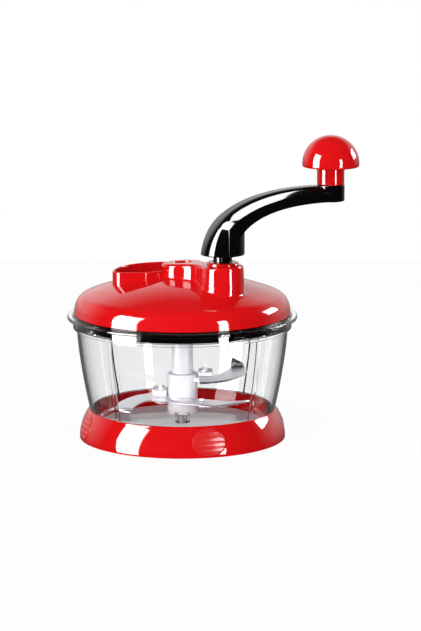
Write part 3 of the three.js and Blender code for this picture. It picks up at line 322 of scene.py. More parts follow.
def packed_angles(count, centres, half_width, step):
    """Angles round a turn: a step apart within the half width of each centre, and elsewhere the
    turn's equal parts."""
    near = np.arange(-half_width, half_width + step / 2, step)
    fine = np.concatenate([centre + near for centre in centres]) % TURN
    coarse = np.arange(count) * TURN / count
    away = np.min(np.abs(from_centre(coarse[:, None], np.array(centres)[None])), 1)
    return np.sort(np.concatenate([fine, coarse[away > half_width + TURN / count / 2]]))


# Materials: what each finish is, how its surface was made, and what that gives the eye

MOULD_WAVE = 9 * MM             # a polished wall is uneven over about a centimetre
MOULD_WAVE_DEPTH = 0.0015 * MM
RESIN_DEPTH = 0.02 * MM         # unevenness that an unpolished mould leaves
SCRATCH_WIDTH = 0.5 * MM        # real grinding is finer: drawn as coarse as it needs to show
SCRATCH_DEPTH = 0.01 * MM
ALONG_SCRATCHES = 0.12          # scratches are about eight times as long as they are wide
ABS_IOR = 1.53
CLEAR_IOR = 1.46                # a little under styrene's, so that the walls look as pale as they do
CLEAR_ROUGHNESS = 0.015
EDGE_BLEND, EDGE_FROM = 0.28, 0.45      # from where on a wall counts as seen along its length
EDGE_PAINTED_SHADE = 0.6                 # how much of its light such a wall lets through: partly its longer path through the plastic, partly painted shade
ETCHED_ROUGHNESS = 0.24         # of the grips, which are etched in the mould
FLOOR_HAZE = 0.6                # share of the light that the bowl's textured floor scatters


def add(tree, kind, inputs=None, **settings):
    """Add a shader node, set its settings, and set or link its inputs."""
    made = tree.nodes.new(kind)
    for key, value in settings.items():
        setattr(made, key, value)
    for key, value in (inputs or {}).items():
        if isinstance(value, bpy.types.NodeSocket):
            tree.links.new(value, made.inputs[key])
        else:
            made.inputs[key].default_value = value
    return made


def new_material(name):
    """A material without nodes, and its node tree."""
    material = bpy.data.materials.new(name)
    material.use_nodes = True
    material.node_tree.nodes.clear()
    return material, material.node_tree


def flow_marks(tree, grain, depth, detail):
    """Noise on Object coordinates at a grain size in metres, and the bump that it gives."""
    place = add(tree, "ShaderNodeTexCoord").outputs["Object"]
    noise = add(tree, "ShaderNodeTexNoise", {"Vector": place, "Scale": 1 / grain, "Detail": detail})
    bump = add(tree, "ShaderNodeBump", {"Height": noise.outputs["Fac"], "Strength": 1.0, "Distance": depth})
    return noise.outputs["Fac"], bump.outputs["Normal"]


def varied(tree, share, colour, levels, roughs):
    """A colour and a roughness that go from one value to another with a pattern's share."""
    low, high = (shade(colour, level) for level in levels)
    tint = add(tree, "ShaderNodeMix", {0: share, 6: low, 7: high}, data_type="RGBA")
    rough = add(tree, "ShaderNodeMapRange", {"Value": share, "To Min": roughs[0], "To Max": roughs[1]})
    return tint.outputs[2], rough.outputs["Result"]


def moulded_gloss(name, colour, roughness, matte=None):
    """Polished injection-moulded ABS: a clear reflection over a colour that varies very little,
    with the faint unevenness that a moulded wall has over about a centimetre. Where a mark is
    named as matte and is 1, the mould was etched, and the surface scatters the light."""
    material, tree = new_material(name)
    share, normal = flow_marks(tree, MOULD_WAVE, MOULD_WAVE_DEPTH, 2.0)
    tint, rough = varied(tree, share, colour, (0.96, 1.04), (roughness * 0.8, roughness * 1.2))
    if matte is not None:
        etched = add(tree, "ShaderNodeAttribute", attribute_name=matte, attribute_type="GEOMETRY")
        rough = add(tree, "ShaderNodeMapRange", {
            "Value": etched.outputs["Fac"],
            "To Min": rough,
            "To Max": ETCHED_ROUGHNESS,
        }).outputs["Result"]
    shader = add(tree, "ShaderNodeBsdfPrincipled", {
        "Base Color": tint,
        "Roughness": rough,
        "IOR": ABS_IOR,
        "Normal": normal,
    })
    add(tree, "ShaderNodeOutputMaterial", {"Surface": shader.outputs["BSDF"]})
    return material


def clear_moulded(name, colour):
    """Crystal-clear moulded styrene: it bends light as a clear resin does, is drawn greyer where the
    wall is seen along its length, partly for its longer path through the plastic and partly as painted
    shade, and lets the studio light through to what is inside. The floor, marked hazy, is finely textured
    and looks paler."""
    material, tree = new_material(name)
    # painted shade: a wall seen along its length is drawn darker, partly for its longer path through the
    # plastic
    edge_on = add(tree, "ShaderNodeLayerWeight", {"Blend": EDGE_BLEND})
    along = add(tree, "ShaderNodeMapRange", {"Value": edge_on.outputs["Facing"], "From Min": EDGE_FROM})
    tint = add(tree, "ShaderNodeMix", {0: along.outputs["Result"], 6: shade(colour),
                                       7: shade(colour, EDGE_PAINTED_SHADE)}, data_type="RGBA")
    glass = add(tree, "ShaderNodeBsdfPrincipled", {
        "Base Color": tint.outputs[2],
        "Roughness": CLEAR_ROUGHNESS,
        "IOR": CLEAR_IOR,
        "Transmission Weight": 1.0,
    })
    hazy = add(tree, "ShaderNodeAttribute", attribute_name="hazy", attribute_type="GEOMETRY")
    share = add(tree, "ShaderNodeMath", {0: hazy.outputs["Fac"], 1: FLOOR_HAZE}, operation="MULTIPLY")
    haze = add(tree, "ShaderNodeBsdfDiffuse", {"Color": shade(colour, 0.97)})
    wall = add(tree, "ShaderNodeMixShader", {0: share.outputs[0], 1: glass.outputs[0], 2: haze.outputs[0]})
    through = add(tree, "ShaderNodeBsdfTransparent", {"Color": shade(colour)})
    path = add(tree, "ShaderNodeLightPath").outputs
    lighting = add(tree, "ShaderNodeMath", {0: path["Is Shadow Ray"], 1: path["Is Diffuse Ray"]},
                   operation="MAXIMUM")
    mix = add(tree, "ShaderNodeMixShader", {0: lighting.outputs[0], 1: wall.outputs[0],
                                            2: through.outputs[0]})
    add(tree, "ShaderNodeOutputMaterial", {"Surface": mix.outputs[0]})
    return material


def ground_steel(name, colour):
    """Stainless sheet, ground along its length: bright, with fine scratches drawn as coarse as
    the render can show."""
    material, tree = new_material(name)
    place = add(tree, "ShaderNodeTexCoord").outputs["Object"]
    long = add(tree, "ShaderNodeMapping", {"Vector": place, "Scale": (ALONG_SCRATCHES, 1.0, 1.0)})
    scratch = add(tree, "ShaderNodeTexNoise", {
        "Vector": long.outputs["Vector"],
        "Scale": 1 / SCRATCH_WIDTH,
        "Detail": 3.0,
    }).outputs["Fac"]
    bump = add(tree, "ShaderNodeBump", {"Height": scratch, "Strength": 0.35, "Distance": SCRATCH_DEPTH})
    tint, rough = varied(tree, scratch, colour, (0.85, 1.05), (0.27, 0.38))
    shader = add(tree, "ShaderNodeBsdfPrincipled", {
        "Base Color": tint,
        "Roughness": rough,
        "Metallic": 1.0,
        "Normal": bump.outputs["Normal"],
    })
    add(tree, "ShaderNodeOutputMaterial", {"Surface": shader.outputs["BSDF"]})
    return material


def satin_moulded(name, colour, roughness, ior, grain):
    """A moulded resin with a soft sheen: acetal, nylon or rubber, by its colour and roughness,
    with the slight unevenness of a mould that wasn't polished."""
    material, tree = new_material(name)
    share, normal = flow_marks(tree, grain, RESIN_DEPTH, 4.0)
    tint, rough = varied(tree, share, colour, (0.96, 1.04), (roughness * 0.9, roughness * 1.15))
    shader = add(tree, "ShaderNodeBsdfPrincipled", {
        "Base Color": tint,
        "Roughness": rough,
        "IOR": ior,
        "Normal": normal,
    })
    add(tree, "ShaderNodeOutputMaterial", {"Surface": shader.outputs["BSDF"]})
    return material


# Sizes and colours that a user would change

def size(text, value, about):
    """A length in metres that a user may change, by its name, default and description."""
    return bpy.props.FloatProperty(name=text, description=about, default=value, min=0.0,
                                   unit="LENGTH", precision=5)


def colour(text, code, about):
    """A colour that a user may change, by its name, sRGB hex default and description."""
    return bpy.props.FloatVectorProperty(name=text, description=about, default=linear(code),
                                         subtype="COLOR", min=0.0, max=1.0)


class ChopperBaseSizes(bpy.types.PropertyGroup):
    """Sizes of the red base ring"""
    foot_radius: size("Foot radius", 87.5 * MM, "Radius of the base ring where it meets the table")
    top_radius: size("Top radius", 79.5 * MM, "Radius of the base ring at its lip")
    height: size("Height", 26 * MM, "Height of the base ring's lip")
    lift: size("Lift", 1 * MM, "Clearance under the base ring's wall")
    belly: size("Belly", 2.1 * MM, "Bulge of the wall beyond a straight cone")
    ledge_radius: size("Ledge radius", 62 * MM, "Inner radius of the ledge that carries the bowl")
    ledge_height: size("Ledge height", 10 * MM, "Height of the ledge's top")
    grip_half_width: size("Grip half width", 15 * MM, "Half the width of a thumb grip")
    grip_half_height: size("Grip half height", 11.6 * MM, "Half the height of a thumb grip")
    grip_proud: size("Grip proud", 0.5 * MM, "How far a thumb grip stands out of the wall")
    rib_proud: size("Rib proud", 0.4 * MM, "How far a rib stands out of its grip")
    rib_pitch: size("Rib pitch", 3.9 * MM, "Distance between the ribs of a grip")


class ChopperBowlSizes(bpy.types.PropertyGroup):
    """Sizes of the clear bowl"""
    mouth_radius: size("Mouth radius", 89.4 * MM, "Outside of the wall just under the collar")
    neck_radius: size("Neck radius", 78.9 * MM, "Outside of the wall just above the base ring")
    foot_radius: size("Foot radius", 69 * MM, "Radius at which the floor turns up")
    corner: size("Corner", 7 * MM, "Round between the floor and the wall")
    collar_radius: size("Collar radius", 92.6 * MM, "Outside of the collar")
    collar_bore: size("Collar bore", 90.3 * MM, "Inside of the collar")
    collar_height: size("Collar height", 95.5 * MM, "Height at which the collar begins")
    rim_radius: size("Rim radius", 97.5 * MM, "Outside of the rim flange")
    rim_height: size("Rim height", 106.5 * MM, "Height of the rim")
    flange_height: size("Flange height", 103.5 * MM, "Underside of the rim flange")


class ChopperLidSizes(bpy.types.PropertyGroup):
    """Sizes of the dome, its housing and chute, and the black gear plate"""
    top: size("Top", 140 * MM, "Height of the dome")
    edge_radius: size("Edge radius", 92 * MM, "Radius of the dome's bottom edge")
    shoulder_radius: size("Shoulder radius", 82.5 * MM, "Radius at which the crown turns into the side")
    shoulder_drop: size("Shoulder drop", 15.6 * MM, "Height lost from the top to the shoulder")
    chute_rim: size("Chute rim", 144.6 * MM, "Height of the feed chute's rim")
    lobe_radius: size("Pinion lobe radius", 17.6 * MM, "Radius of the housing over the pinion")
    crank_lobe_radius: size("Crank lobe radius", 17.4 * MM, "Radius of the housing under the crank")
    waist_radius: size("Waist radius", 26 * MM, "Radius of the hollow between the lobes")
    lobe_top: size("Pinion lobe top", 151.2 * MM, "Height of the housing over the pinion")
    crank_lobe_top: size("Crank lobe top", 154.5 * MM, "Height of the housing under the crank")
    collar_radius: size("Shaft collar radius", 13.4 * MM, "Radius of the raised collar round the shaft")
    collar_top: size("Shaft collar top", 157.4 * MM, "Height of the shaft collar")
    skirt_radius: size("Skirt radius", 89.5 * MM, "Outside of the black skirt that plugs into the bowl")
    skirt_foot: size("Skirt foot", 98 * MM, "Underside of the skirt")
    flange_radius: size("Flange radius", 92.8 * MM, "Outside of the black flange under the dome")


class ChopperCrankSizes(bpy.types.PropertyGroup):
    """Sizes of the black crank arm"""
    hub_foot: size("Hub foot", 163.7 * MM, "Underside of the hub")
    hub_radius: size("Hub radius", 18.3 * MM, "Radius of the hub")
    hub_height: size("Hub height", 23 * MM, "Height of the hub")
    top: size("Top", 218 * MM, "Top of the arm at the knob")
    under: size("Underside", 204.9 * MM, "Underside of the arm at the knob")
    boss_radius: size("Boss radius", 11.75 * MM, "Radius of the end boss")
    boss_top: size("Boss top", 218.4 * MM, "Top of the end boss")
    end_width: size("End width", 22.5 * MM, "Width of the arm at the knob")


class ChopperKnobSizes(bpy.types.PropertyGroup):
    """Sizes of the red knob"""
    stem_radius: size("Stem radius", 11.5 * MM, "Radius of the stem")
    stem_top: size("Stem top", 240 * MM, "Top of the stem inside the cap")
    cap_radius: size("Cap radius", 24 * MM, "Radius of the mushroom cap")
    cap_centre: size("Cap centre", 236 * MM, "Height of the cap's widest circle")
    cap_lip: size("Cap lip", 2.4 * MM, "How far the cap's lip hangs below its widest circle")
    lip_radius: size("Lip radius", 21.8 * MM, "Radius of the lip's lower edge")


class ChopperBladeSizes(bpy.types.PropertyGroup):
    """Sizes of the blade unit"""
    hub_radius: size("Hub radius", 12.8 * MM, "Radius of the blade hub")
    hub_foot: size("Hub foot", 21.5 * MM, "Underside of the hub")
    hub_top: size("Hub top", 56 * MM, "Top of the hub")
    stalk_radius: size("Stalk radius", 9 * MM, "Radius of the stalk above the hub")
    stalk_top: size("Stalk top", 99.7 * MM, "Top of the stalk")
    reach: size("Blade reach", 60 * MM, "Size that the hooked blades scale with")
    thickness: size("Sheet thickness", 1 * MM, "Thickness of the blades' sheet")
    upper: size("Upper blade height", 53 * MM, "Height of the upper blade")
    left: size("Left blade height", 31.1 * MM, "Height of the left blade")
    front: size("Front blade height", 35.4 * MM, "Height of the front blade")
    tip_rise: size("Tip rise", 7 * MM, "How far the upper blade's tip is bent up")
    tip_drop: size("Tip drop", 2.2 * MM, "How far the left blade's tip is bent down")


class ChopperColours(bpy.types.PropertyGroup):
    """Colours of the finishes"""
    red: colour("Red", "e01418", "Polished red plastic of the base, the dome and the knob")
    black: colour("Black", "09090a", "Polished black plastic of the crank and the gear plate")
    clear: colour("Clear", "fefeff", "Tint of the clear bowl")
    white: colour("White", "f8f7fa", "White plastic of the blade unit")
    nylon: colour("Nylon", "e1ddd0", "Gears and bearings")
    blade: colour("Blades", "e9e6ea", "Ground steel of the blades")
    pin: colour("Pins", "d4d2d4", "Turned steel of pins, screws and rivets")
    rubber: colour("Rubber", "272729", "Feet under the base")


class ChopperStudio(bpy.types.PropertyGroup):
    """Where the camera stands"""
    camera_distance: size("Camera distance", 2550 * MM,
                          "Distance of the camera in front of the bowl's axis")
    camera_height: size("Camera height", 585 * MM, "Height of the camera")
    aim_height: size("Aim height", 105 * MM, "Height at which the camera looks, over the bowl's axis")
    camera_side: size("Camera side", 23.9 * MM,
                      "How far the camera stands to the knob's side of the bowl's axis")
    focal_length: bpy.props.FloatProperty(
        name="Focal length", description="Lens in millimetres on a 36 mm sensor", default=174.6, min=1.0)


# Base ring

RIB_COUNT = 5
RIB_HALF = 0.5 * MM
PAD_EDGE = 0.94, 1.0            # shares of a grip's oval over which its pad sinks into the wall
RIBS_EDGE = 0.84, 0.9           # and over which its ribs sink into the pad
GRIP_START = np.radians(-74.5)
QUARTERS = np.arange(4) * TURN / 4


def flare(s, z):
    """Radius of the base ring's wall: a straight cone from foot to lip, plus a parabola."""
    t = (z - s.lift) / (s.height - s.lift)
    return s.foot_radius + (s.top_radius - s.foot_radius) * t + 4 * s.belly * t * (1 - t)


def base_shell(s):
    """One closed line turned about the axis: up the flared wall, over a rounded lip, down a wall's
    thickness inside it, round the ledge that carries the bowl, and down to the foot. With it comes
    the mark, which is 1 on the etched grips."""
    lip_foot, ledge_foot = s.height - 1.4 * MM, s.ledge_height - 2 * MM
    up = np.linspace(s.lift, lip_foot, 84)
    down = np.linspace(s.height - 1.6 * MM, s.ledge_height + 0.9 * MM, 8)
    low = np.linspace(s.ledge_height - 2.6 * MM, s.lift, 5)
    lip = rounded([(flare(s, lip_foot), lip_foot, 0), (s.top_radius + 0.1 * MM, s.height, 0.9 * MM),
                   (s.top_radius - WALL, s.height, 0.8 * MM), (flare(s, down[0]) - WALL, down[0], 0)])
    ledge = rounded([(flare(s, down[-1]) - WALL, down[-1], 0),
                     (flare(s, s.ledge_height) - WALL, s.ledge_height, 0.7 * MM),
                     (s.ledge_radius, s.ledge_height, 0.6 * MM),
                     (s.ledge_radius, ledge_foot, 0.6 * MM),
                     (flare(s, ledge_foot) - WALL, ledge_foot, 0.5 * MM),
                     (flare(s, low[0]) - WALL, low[0], 0)])
    profile = np.concatenate([
        np.column_stack([flare(s, up), up]), lip[1:-1],
        np.column_stack([flare(s, down) - WALL, down]), ledge[1:-1],
        np.column_stack([flare(s, low) - WALL, low]),
    ])
    centres = (GRIP_START + QUARTERS) % TURN
    half = s.grip_half_width / s.foot_radius
    angles = packed_angles(160, centres, half * 1.1, 0.45 * MM / s.foot_radius)
    middle_height = (s.lift + s.height) / 2
    marks = []

    def grips(angle, radius, height):
        """Each grip is an oval pad with a soft edge, and its ribs are narrow rounded bars: each
        rises as the bell curve of the fourth power of the distance from its middle."""
        wall = radius > flare(s, height) - 0.3 * MM
        above = height - middle_height
        for centre in centres:
            across = from_centre(angle, centre) * s.foot_radius / s.grip_half_width
            out = np.sqrt(across ** 2 + (above / s.grip_half_height) ** 2)
            pad = 1 - smooth(*PAD_EDGE, out)
            ribs = sum(np.exp(-((above - k * s.rib_pitch) / RIB_HALF) ** 4)
                       for k in range(-(RIB_COUNT // 2), RIB_COUNT // 2 + 1))
            inside = 1 - smooth(*RIBS_EDGE, out)
            radius = radius + wall * (s.grip_proud * pad + s.rib_proud * ribs * inside)
            marks.append(wall * pad)
        return radius, height

    shell = turned(profile, angles, closed=True, shift=grips)
    return shell, np.sum(marks, 0).ravel()


# Bowl

BOWL_RIBS = np.radians(46.8) + QUARTERS
RIDGES = np.radians(-47) + QUARTERS
RIDGE_HALF = np.radians(7.5)
STOP = np.radians(-11.5)
STOP_HALF = np.radians(2)
SHOULDER = 26.3 * MM
RIDGE_MIDDLE, RIDGE_HALF_HEIGHT = 100.95 * MM, 2.15 * MM
RIDGE_PROUD = 1.6 * MM
BOWL_RIB_PROUD = 1.5 * MM
BOWL_RIB_FLANK = 1.7 * MM, 2.1 * MM     # from a rib's middle, where its flank begins and ends
BORE_LOW, BORE_HIGH = 97.8 * MM, 106 * MM       # the collar's bore is plain between them
WIDENING = 1.45


def bowl_radius(s, z):
    """Radius of the bowl's outer wall: it falls from the collar down with a power of the depth."""
    down = np.clip((s.collar_height - z) / (s.collar_height - SHOULDER), 0, 1)
    return s.mouth_radius - (s.mouth_radius - s.neck_radius) * down ** WIDENING


def bowl_angles(s):
    """Angles round the bowl, close together at the ribs, the ridges and their stops."""
    ribs = packed_angles(144, BOWL_RIBS % TURN, 3 * MM / s.neck_radius, 0.25 * MM / s.neck_radius)
    clear = np.ones(len(ribs), bool)
    packed = []
    for centres, half, reach, room, count in ((RIDGES, RIDGE_HALF, 1.15, 1.2, 50),
                                              (RIDGES + STOP, STOP_HALF, 1.3, 1.4, 16)):
        near = np.linspace(-half * reach, half * reach, count)
        packed.append((centres[:, None] + near).ravel() % TURN)
        clear &= np.all(np.abs(from_centre(ribs[:, None], centres)) > half * room, 1)
    angles = np.unique(np.concatenate([ribs[clear], *packed]))
    return angles[np.append(True, np.diff(angles) > 1e-4)]


def bowl_shell(s):
    """One closed line turned about the axis: from the middle of the underside out and up the
    outside, over the rim, down the inside, in over the floor, and over the post that holds the
    blades' pin. With it comes the mark, which is 1 on the floor."""
    seat, floor, neck, bore_foot = 10.3 * MM, 13 * MM, 76.8 * MM, 97.4 * MM
    knee, post, post_top, pin, pin_foot = 20 * MM, 6 * MM, 20 * MM, 2.8 * MM, 11.8 * MM
    outer_z = np.linspace(SHOULDER + 0.8 * MM, s.collar_height - 1 * MM, 36)
    inner_z = np.linspace(s.collar_height + 1 * MM, SHOULDER, 40)
    inner_foot = bowl_radius(s, SHOULDER) - WALL
    corners = np.concatenate([
        [(0, seat, 0), (s.foot_radius + s.corner, seat, s.corner), (neck, SHOULDER, 0.4 * MM),
         (s.neck_radius, SHOULDER, 0.6 * MM)],
        np.column_stack([bowl_radius(s, outer_z), outer_z, 0 * outer_z]),
        [(s.mouth_radius, s.collar_height, 0.5 * MM), (s.collar_radius, s.collar_height, 0.8 * MM),
         (s.collar_radius, s.flange_height, 0.8 * MM), (s.rim_radius, s.flange_height, 1.2 * MM),
         (s.rim_radius, s.rim_height, 1.2 * MM), (s.collar_bore, s.rim_height, 0.6 * MM),
         (s.collar_bore, bore_foot, 0.4 * MM), (s.mouth_radius - WALL, bore_foot, 0.6 * MM)],
        np.column_stack([bowl_radius(s, inner_z) - WALL, inner_z, 0 * inner_z]),
        [(inner_foot - 2 * MM, knee, 4 * MM), (s.foot_radius + 3.3 * MM, floor, 5 * MM),
         (post, floor, 0.8 * MM), (post, post_top, 0.5 * MM), (pin, post_top, 0.3 * MM),
         (pin, pin_foot, 0.3 * MM), (0, pin_foot, 0)],
    ])
    profile = filled(rounded(corners), 3 * MM)
    bore = ((profile[:, 0] < s.collar_bore + 0.05 * MM) & (profile[:, 1] > bore_foot - 0.8 * MM)
            & (profile[:, 1] < BORE_HIGH))
    first, last = np.flatnonzero(bore)[[0, -1]]
    profile = np.concatenate([profile[:first], filled(profile[first:last + 1], 0.4 * MM),
                              profile[last + 1:]])

    def ribs_and_ridges(angle, radius, height):
        """Upright ribs on the inner wall, and bayonet ridges with their stops in the collar's bore."""
        wall = ((np.abs(radius - (bowl_radius(s, height) - WALL)) < 0.2 * MM)
                & (height > SHOULDER - 0.5 * MM) & (height < s.collar_height + 1.5 * MM))
        for centre in BOWL_RIBS:
            across = np.abs(from_centre(angle, centre)) * s.neck_radius
            radius = radius - wall * BOWL_RIB_PROUD * (1 - smooth(*BOWL_RIB_FLANK, across))
        bore = ((np.abs(radius - s.collar_bore) < 0.3 * MM) & (height > BORE_LOW)
                & (height < BORE_HIGH))
        inner_half, soft = RIDGE_HALF_HEIGHT - 0.4 * MM, STOP_HALF * s.collar_bore - 0.4 * MM
        for centre in RIDGES:
            along = np.abs(from_centre(angle, centre)) * s.collar_bore
            straight = RIDGE_HALF * s.collar_bore - RIDGE_HALF_HEIGHT
            reach = np.hypot(np.maximum(along - straight, 0), height - RIDGE_MIDDLE)
            ridge = 1 - smooth(inner_half, RIDGE_HALF_HEIGHT, reach)
            aside = np.abs(from_centre(angle, centre + STOP)) * s.collar_bore
            up = np.abs(height - RIDGE_MIDDLE)
            stop = ((1 - smooth(soft, STOP_HALF * s.collar_bore, aside))
                    * (1 - smooth(inner_half, RIDGE_HALF_HEIGHT, up)))
            radius = radius - bore * RIDGE_PROUD * np.maximum(ridge, stop)
        return radius, height

    points, faces = turned(profile, bowl_angles(s), shift=ribs_and_ridges)
    hazy = ((np.hypot(points[:, 0], points[:, 1]) < s.foot_radius + 1 * MM)
            & (np.abs(points[:, 2] - floor) < 0.1 * MM))
    return (points, faces), hazy.astype(float)


# Lid

DOME_FOOT = 107.9 * MM
INSIDE_FOOT = 107.2 * MM        # foot of the walls that stand on the gear plate
UNDER_CROWN = 118 * MM          # a height inside the dome, where the housing's outer wall ends
CHUTE_CENTRE = np.array([-20, 10]) * MM
CHUTE_ARC = 46.8 * MM
CHUTE_CORNER = 10 * MM
CHUTE_HALF_WALL = 1 * MM
CHUTE_FACING = np.radians([47, 200])
GROOVE_EDGES = -14.7, 8.7, 24.5         # degrees from a ridge's middle: start, mouth and end
GROOVE_FADE = 0.2               # degrees on either side of an edge
GROOVE_DEPTH = 1.1 * MM
GROOVE_LEDGE, GROOVE_TOP = 98.2 * MM, 103.7 * MM


def crown(s, r):
    """Height of the dome's crown: a parabola in the distance from the axis."""
    return s.top - s.shoulder_drop * (r / s.shoulder_radius) ** 2


def dome_side(s):
    """Radius and height down the dome's side: a quadratic curve from the shoulder, then a line."""
    t = np.linspace(0, 1, 22)[:, None]
    start = np.array([s.shoulder_radius, s.top - s.shoulder_drop])
    corner = np.array([s.edge_radius - 2.1 * MM, s.top - 18.5 * MM])
    side = np.array([s.edge_radius - 0.7 * MM, 112.5 * MM])
    curve = start * (1 - t) ** 2 + 2 * corner * t * (1 - t) + side * t ** 2
    foot = np.array([s.edge_radius, DOME_FOOT])
    line = side + (foot - side) * np.array([0.33, 0.66, 0.9, 1])[:, None]
    return np.concatenate([curve, line])


def chute_path(inset):
    """Plan of the chute's wall from the housing round to the housing again: a front wall, a round
    corner, a wide arc and a short wall back. The inset moves it inwards."""
    back, back_r = np.array([-12, -6]) * MM, CHUTE_ARC - inset
    corner_r = CHUTE_CORNER - inset
    corner_x = back[0] - CHUTE_ARC + CHUTE_CORNER
    end, from_lobe, lobe = np.radians(65), np.radians(202.5), 16.4 * MM
    start = np.array([[lobe * np.cos(from_lobe), lobe * np.sin(from_lobe) + inset]])
    front = np.array([[-32 * MM + inset / 2, back[1] - CHUTE_CORNER + inset]])
    a = np.linspace(-TURN / 4, -TURN / 2, 20)
    corner = np.column_stack([corner_x + corner_r * np.cos(a), back[1] + corner_r * np.sin(a)])
    b = np.linspace(TURN / 2, end + inset / back_r, 90)
    arc = back + back_r * np.column_stack([np.cos(b), np.sin(b)])
    finish = np.array([[lobe * np.cos(TURN / 8) - inset, lobe * np.sin(TURN / 8)]])
    corners = np.concatenate([start, front, corner, arc, finish])
    radii = np.zeros(len(corners))
    radii[1], radii[-2] = 5 * MM, 3 * MM
    return filled(rounded(np.column_stack([corners, radii]), 8), 1.5 * MM)


def dome_shell(s):
    """Outside of the chute the crown is spread from the chute's wall to a circle, along lines out
    of the chute's middle; past the circle the dome is a plain turned surface. The inner skin
    follows at the wall's thickness."""
    loop = np.concatenate([chute_path(CHUTE_HALF_WALL), [[0.0, 0.0]]])
    loop = filled(np.concatenate([loop, loop[:1]]), 0.5 * MM)[:-1]
    offset = loop - CHUTE_CENTRE
    direction = np.arctan2(offset[:, 1], offset[:, 0])
    order = np.argsort(direction)
    direction, reach = direction[order], np.hypot(*offset.T)[order]
    angles = np.arange(320) * TURN / 320
    circle_r = 70 * MM
    circle = circle_r * np.column_stack([np.cos(angles), np.sin(angles)])
    out = circle - CHUTE_CENTRE
    near = np.interp(np.arctan2(out[:, 1], out[:, 0]), direction, reach, period=TURN)
    inner_edge = CHUTE_CENTRE + near[:, None] * out / np.linalg.norm(out, axis=1)[:, None]
    share = np.linspace(0, 1, 44)[:, None, None]
    plan = inner_edge[None] + (circle - inner_edge)[None] * share
    top = lifted(plan, crown(s, np.linalg.norm(plan, axis=2)))

    r = np.linspace(circle_r, s.shoulder_radius, 8)[1:-1]
    outer_line = np.concatenate([np.column_stack([r, crown(s, r)]), dome_side(s)])
    inner_line = (outer_line + sideways(np.gradient(outer_line, axis=0)) * WALL)[::-1]
    foot = outer_line[-1]
    inner_line[0] = foot - np.array([WALL, 0])
    edge = rounded([(*outer_line[-2], 0), (*foot, 0.5 * MM), (foot[0] - WALL, foot[1], 0.3 * MM),
                    (*inner_line[1], 0)])[1:-1]
    under = top - np.array([0, 0, WALL])
    rings = [carried_round(line, angles) for line in (outer_line[:-1], edge, inner_line[1:])]
    return skin(np.concatenate([top, *rings, under[::-1]]), wrap_rows=True)


def housing_plan(s, offset):
    """Plan of the gear housing along the line from the pinion to the crank: two round lobes
    joined by hollow curves. The offset moves each point outwards and may differ from point to
    point."""
    reach_a, reach_b = s.lobe_radius + s.waist_radius, s.crank_lobe_radius + s.waist_radius
    along = (reach_a ** 2 - reach_b ** 2 + CENTRES ** 2) / (2 * CENTRES)
    aside = np.sqrt(reach_a ** 2 - along ** 2)
    left, right = np.arctan2(aside, along), np.arctan2(aside, CENTRES - along)
    # Each span: centre, radius, whether it bulges out, first and last angle, and points
    spans = [
        (0, 0, s.lobe_radius, 1, left, TURN - left, 96),
        (along, -aside, s.waist_radius, -1, TURN / 2 - left, right, 40),
        (CENTRES, 0, s.crank_lobe_radius, 1, right - TURN / 2, TURN / 2 - right, 96),
        (along, aside, s.waist_radius, -1, -right, left - TURN / 2, 40),
    ]
    x, y, radius, sign, angle = (np.concatenate(part) for part in zip(*[
        (np.full(n, cx), np.full(n, cy), np.full(n, r), np.full(n, sg), a + (b - a) * np.arange(n) / n)
        for cx, cy, r, sg, a, b, n in spans]))
    r = radius + sign * offset
    return np.stack([x + r * np.cos(angle), y + r * np.sin(angle)], -1)


def housing_top(s, along):
    """The housing's top is a plane that climbs from the pinion's lobe to the crank's."""
    return s.lobe_top + (s.crank_lobe_top - s.lobe_top) * along / CENTRES


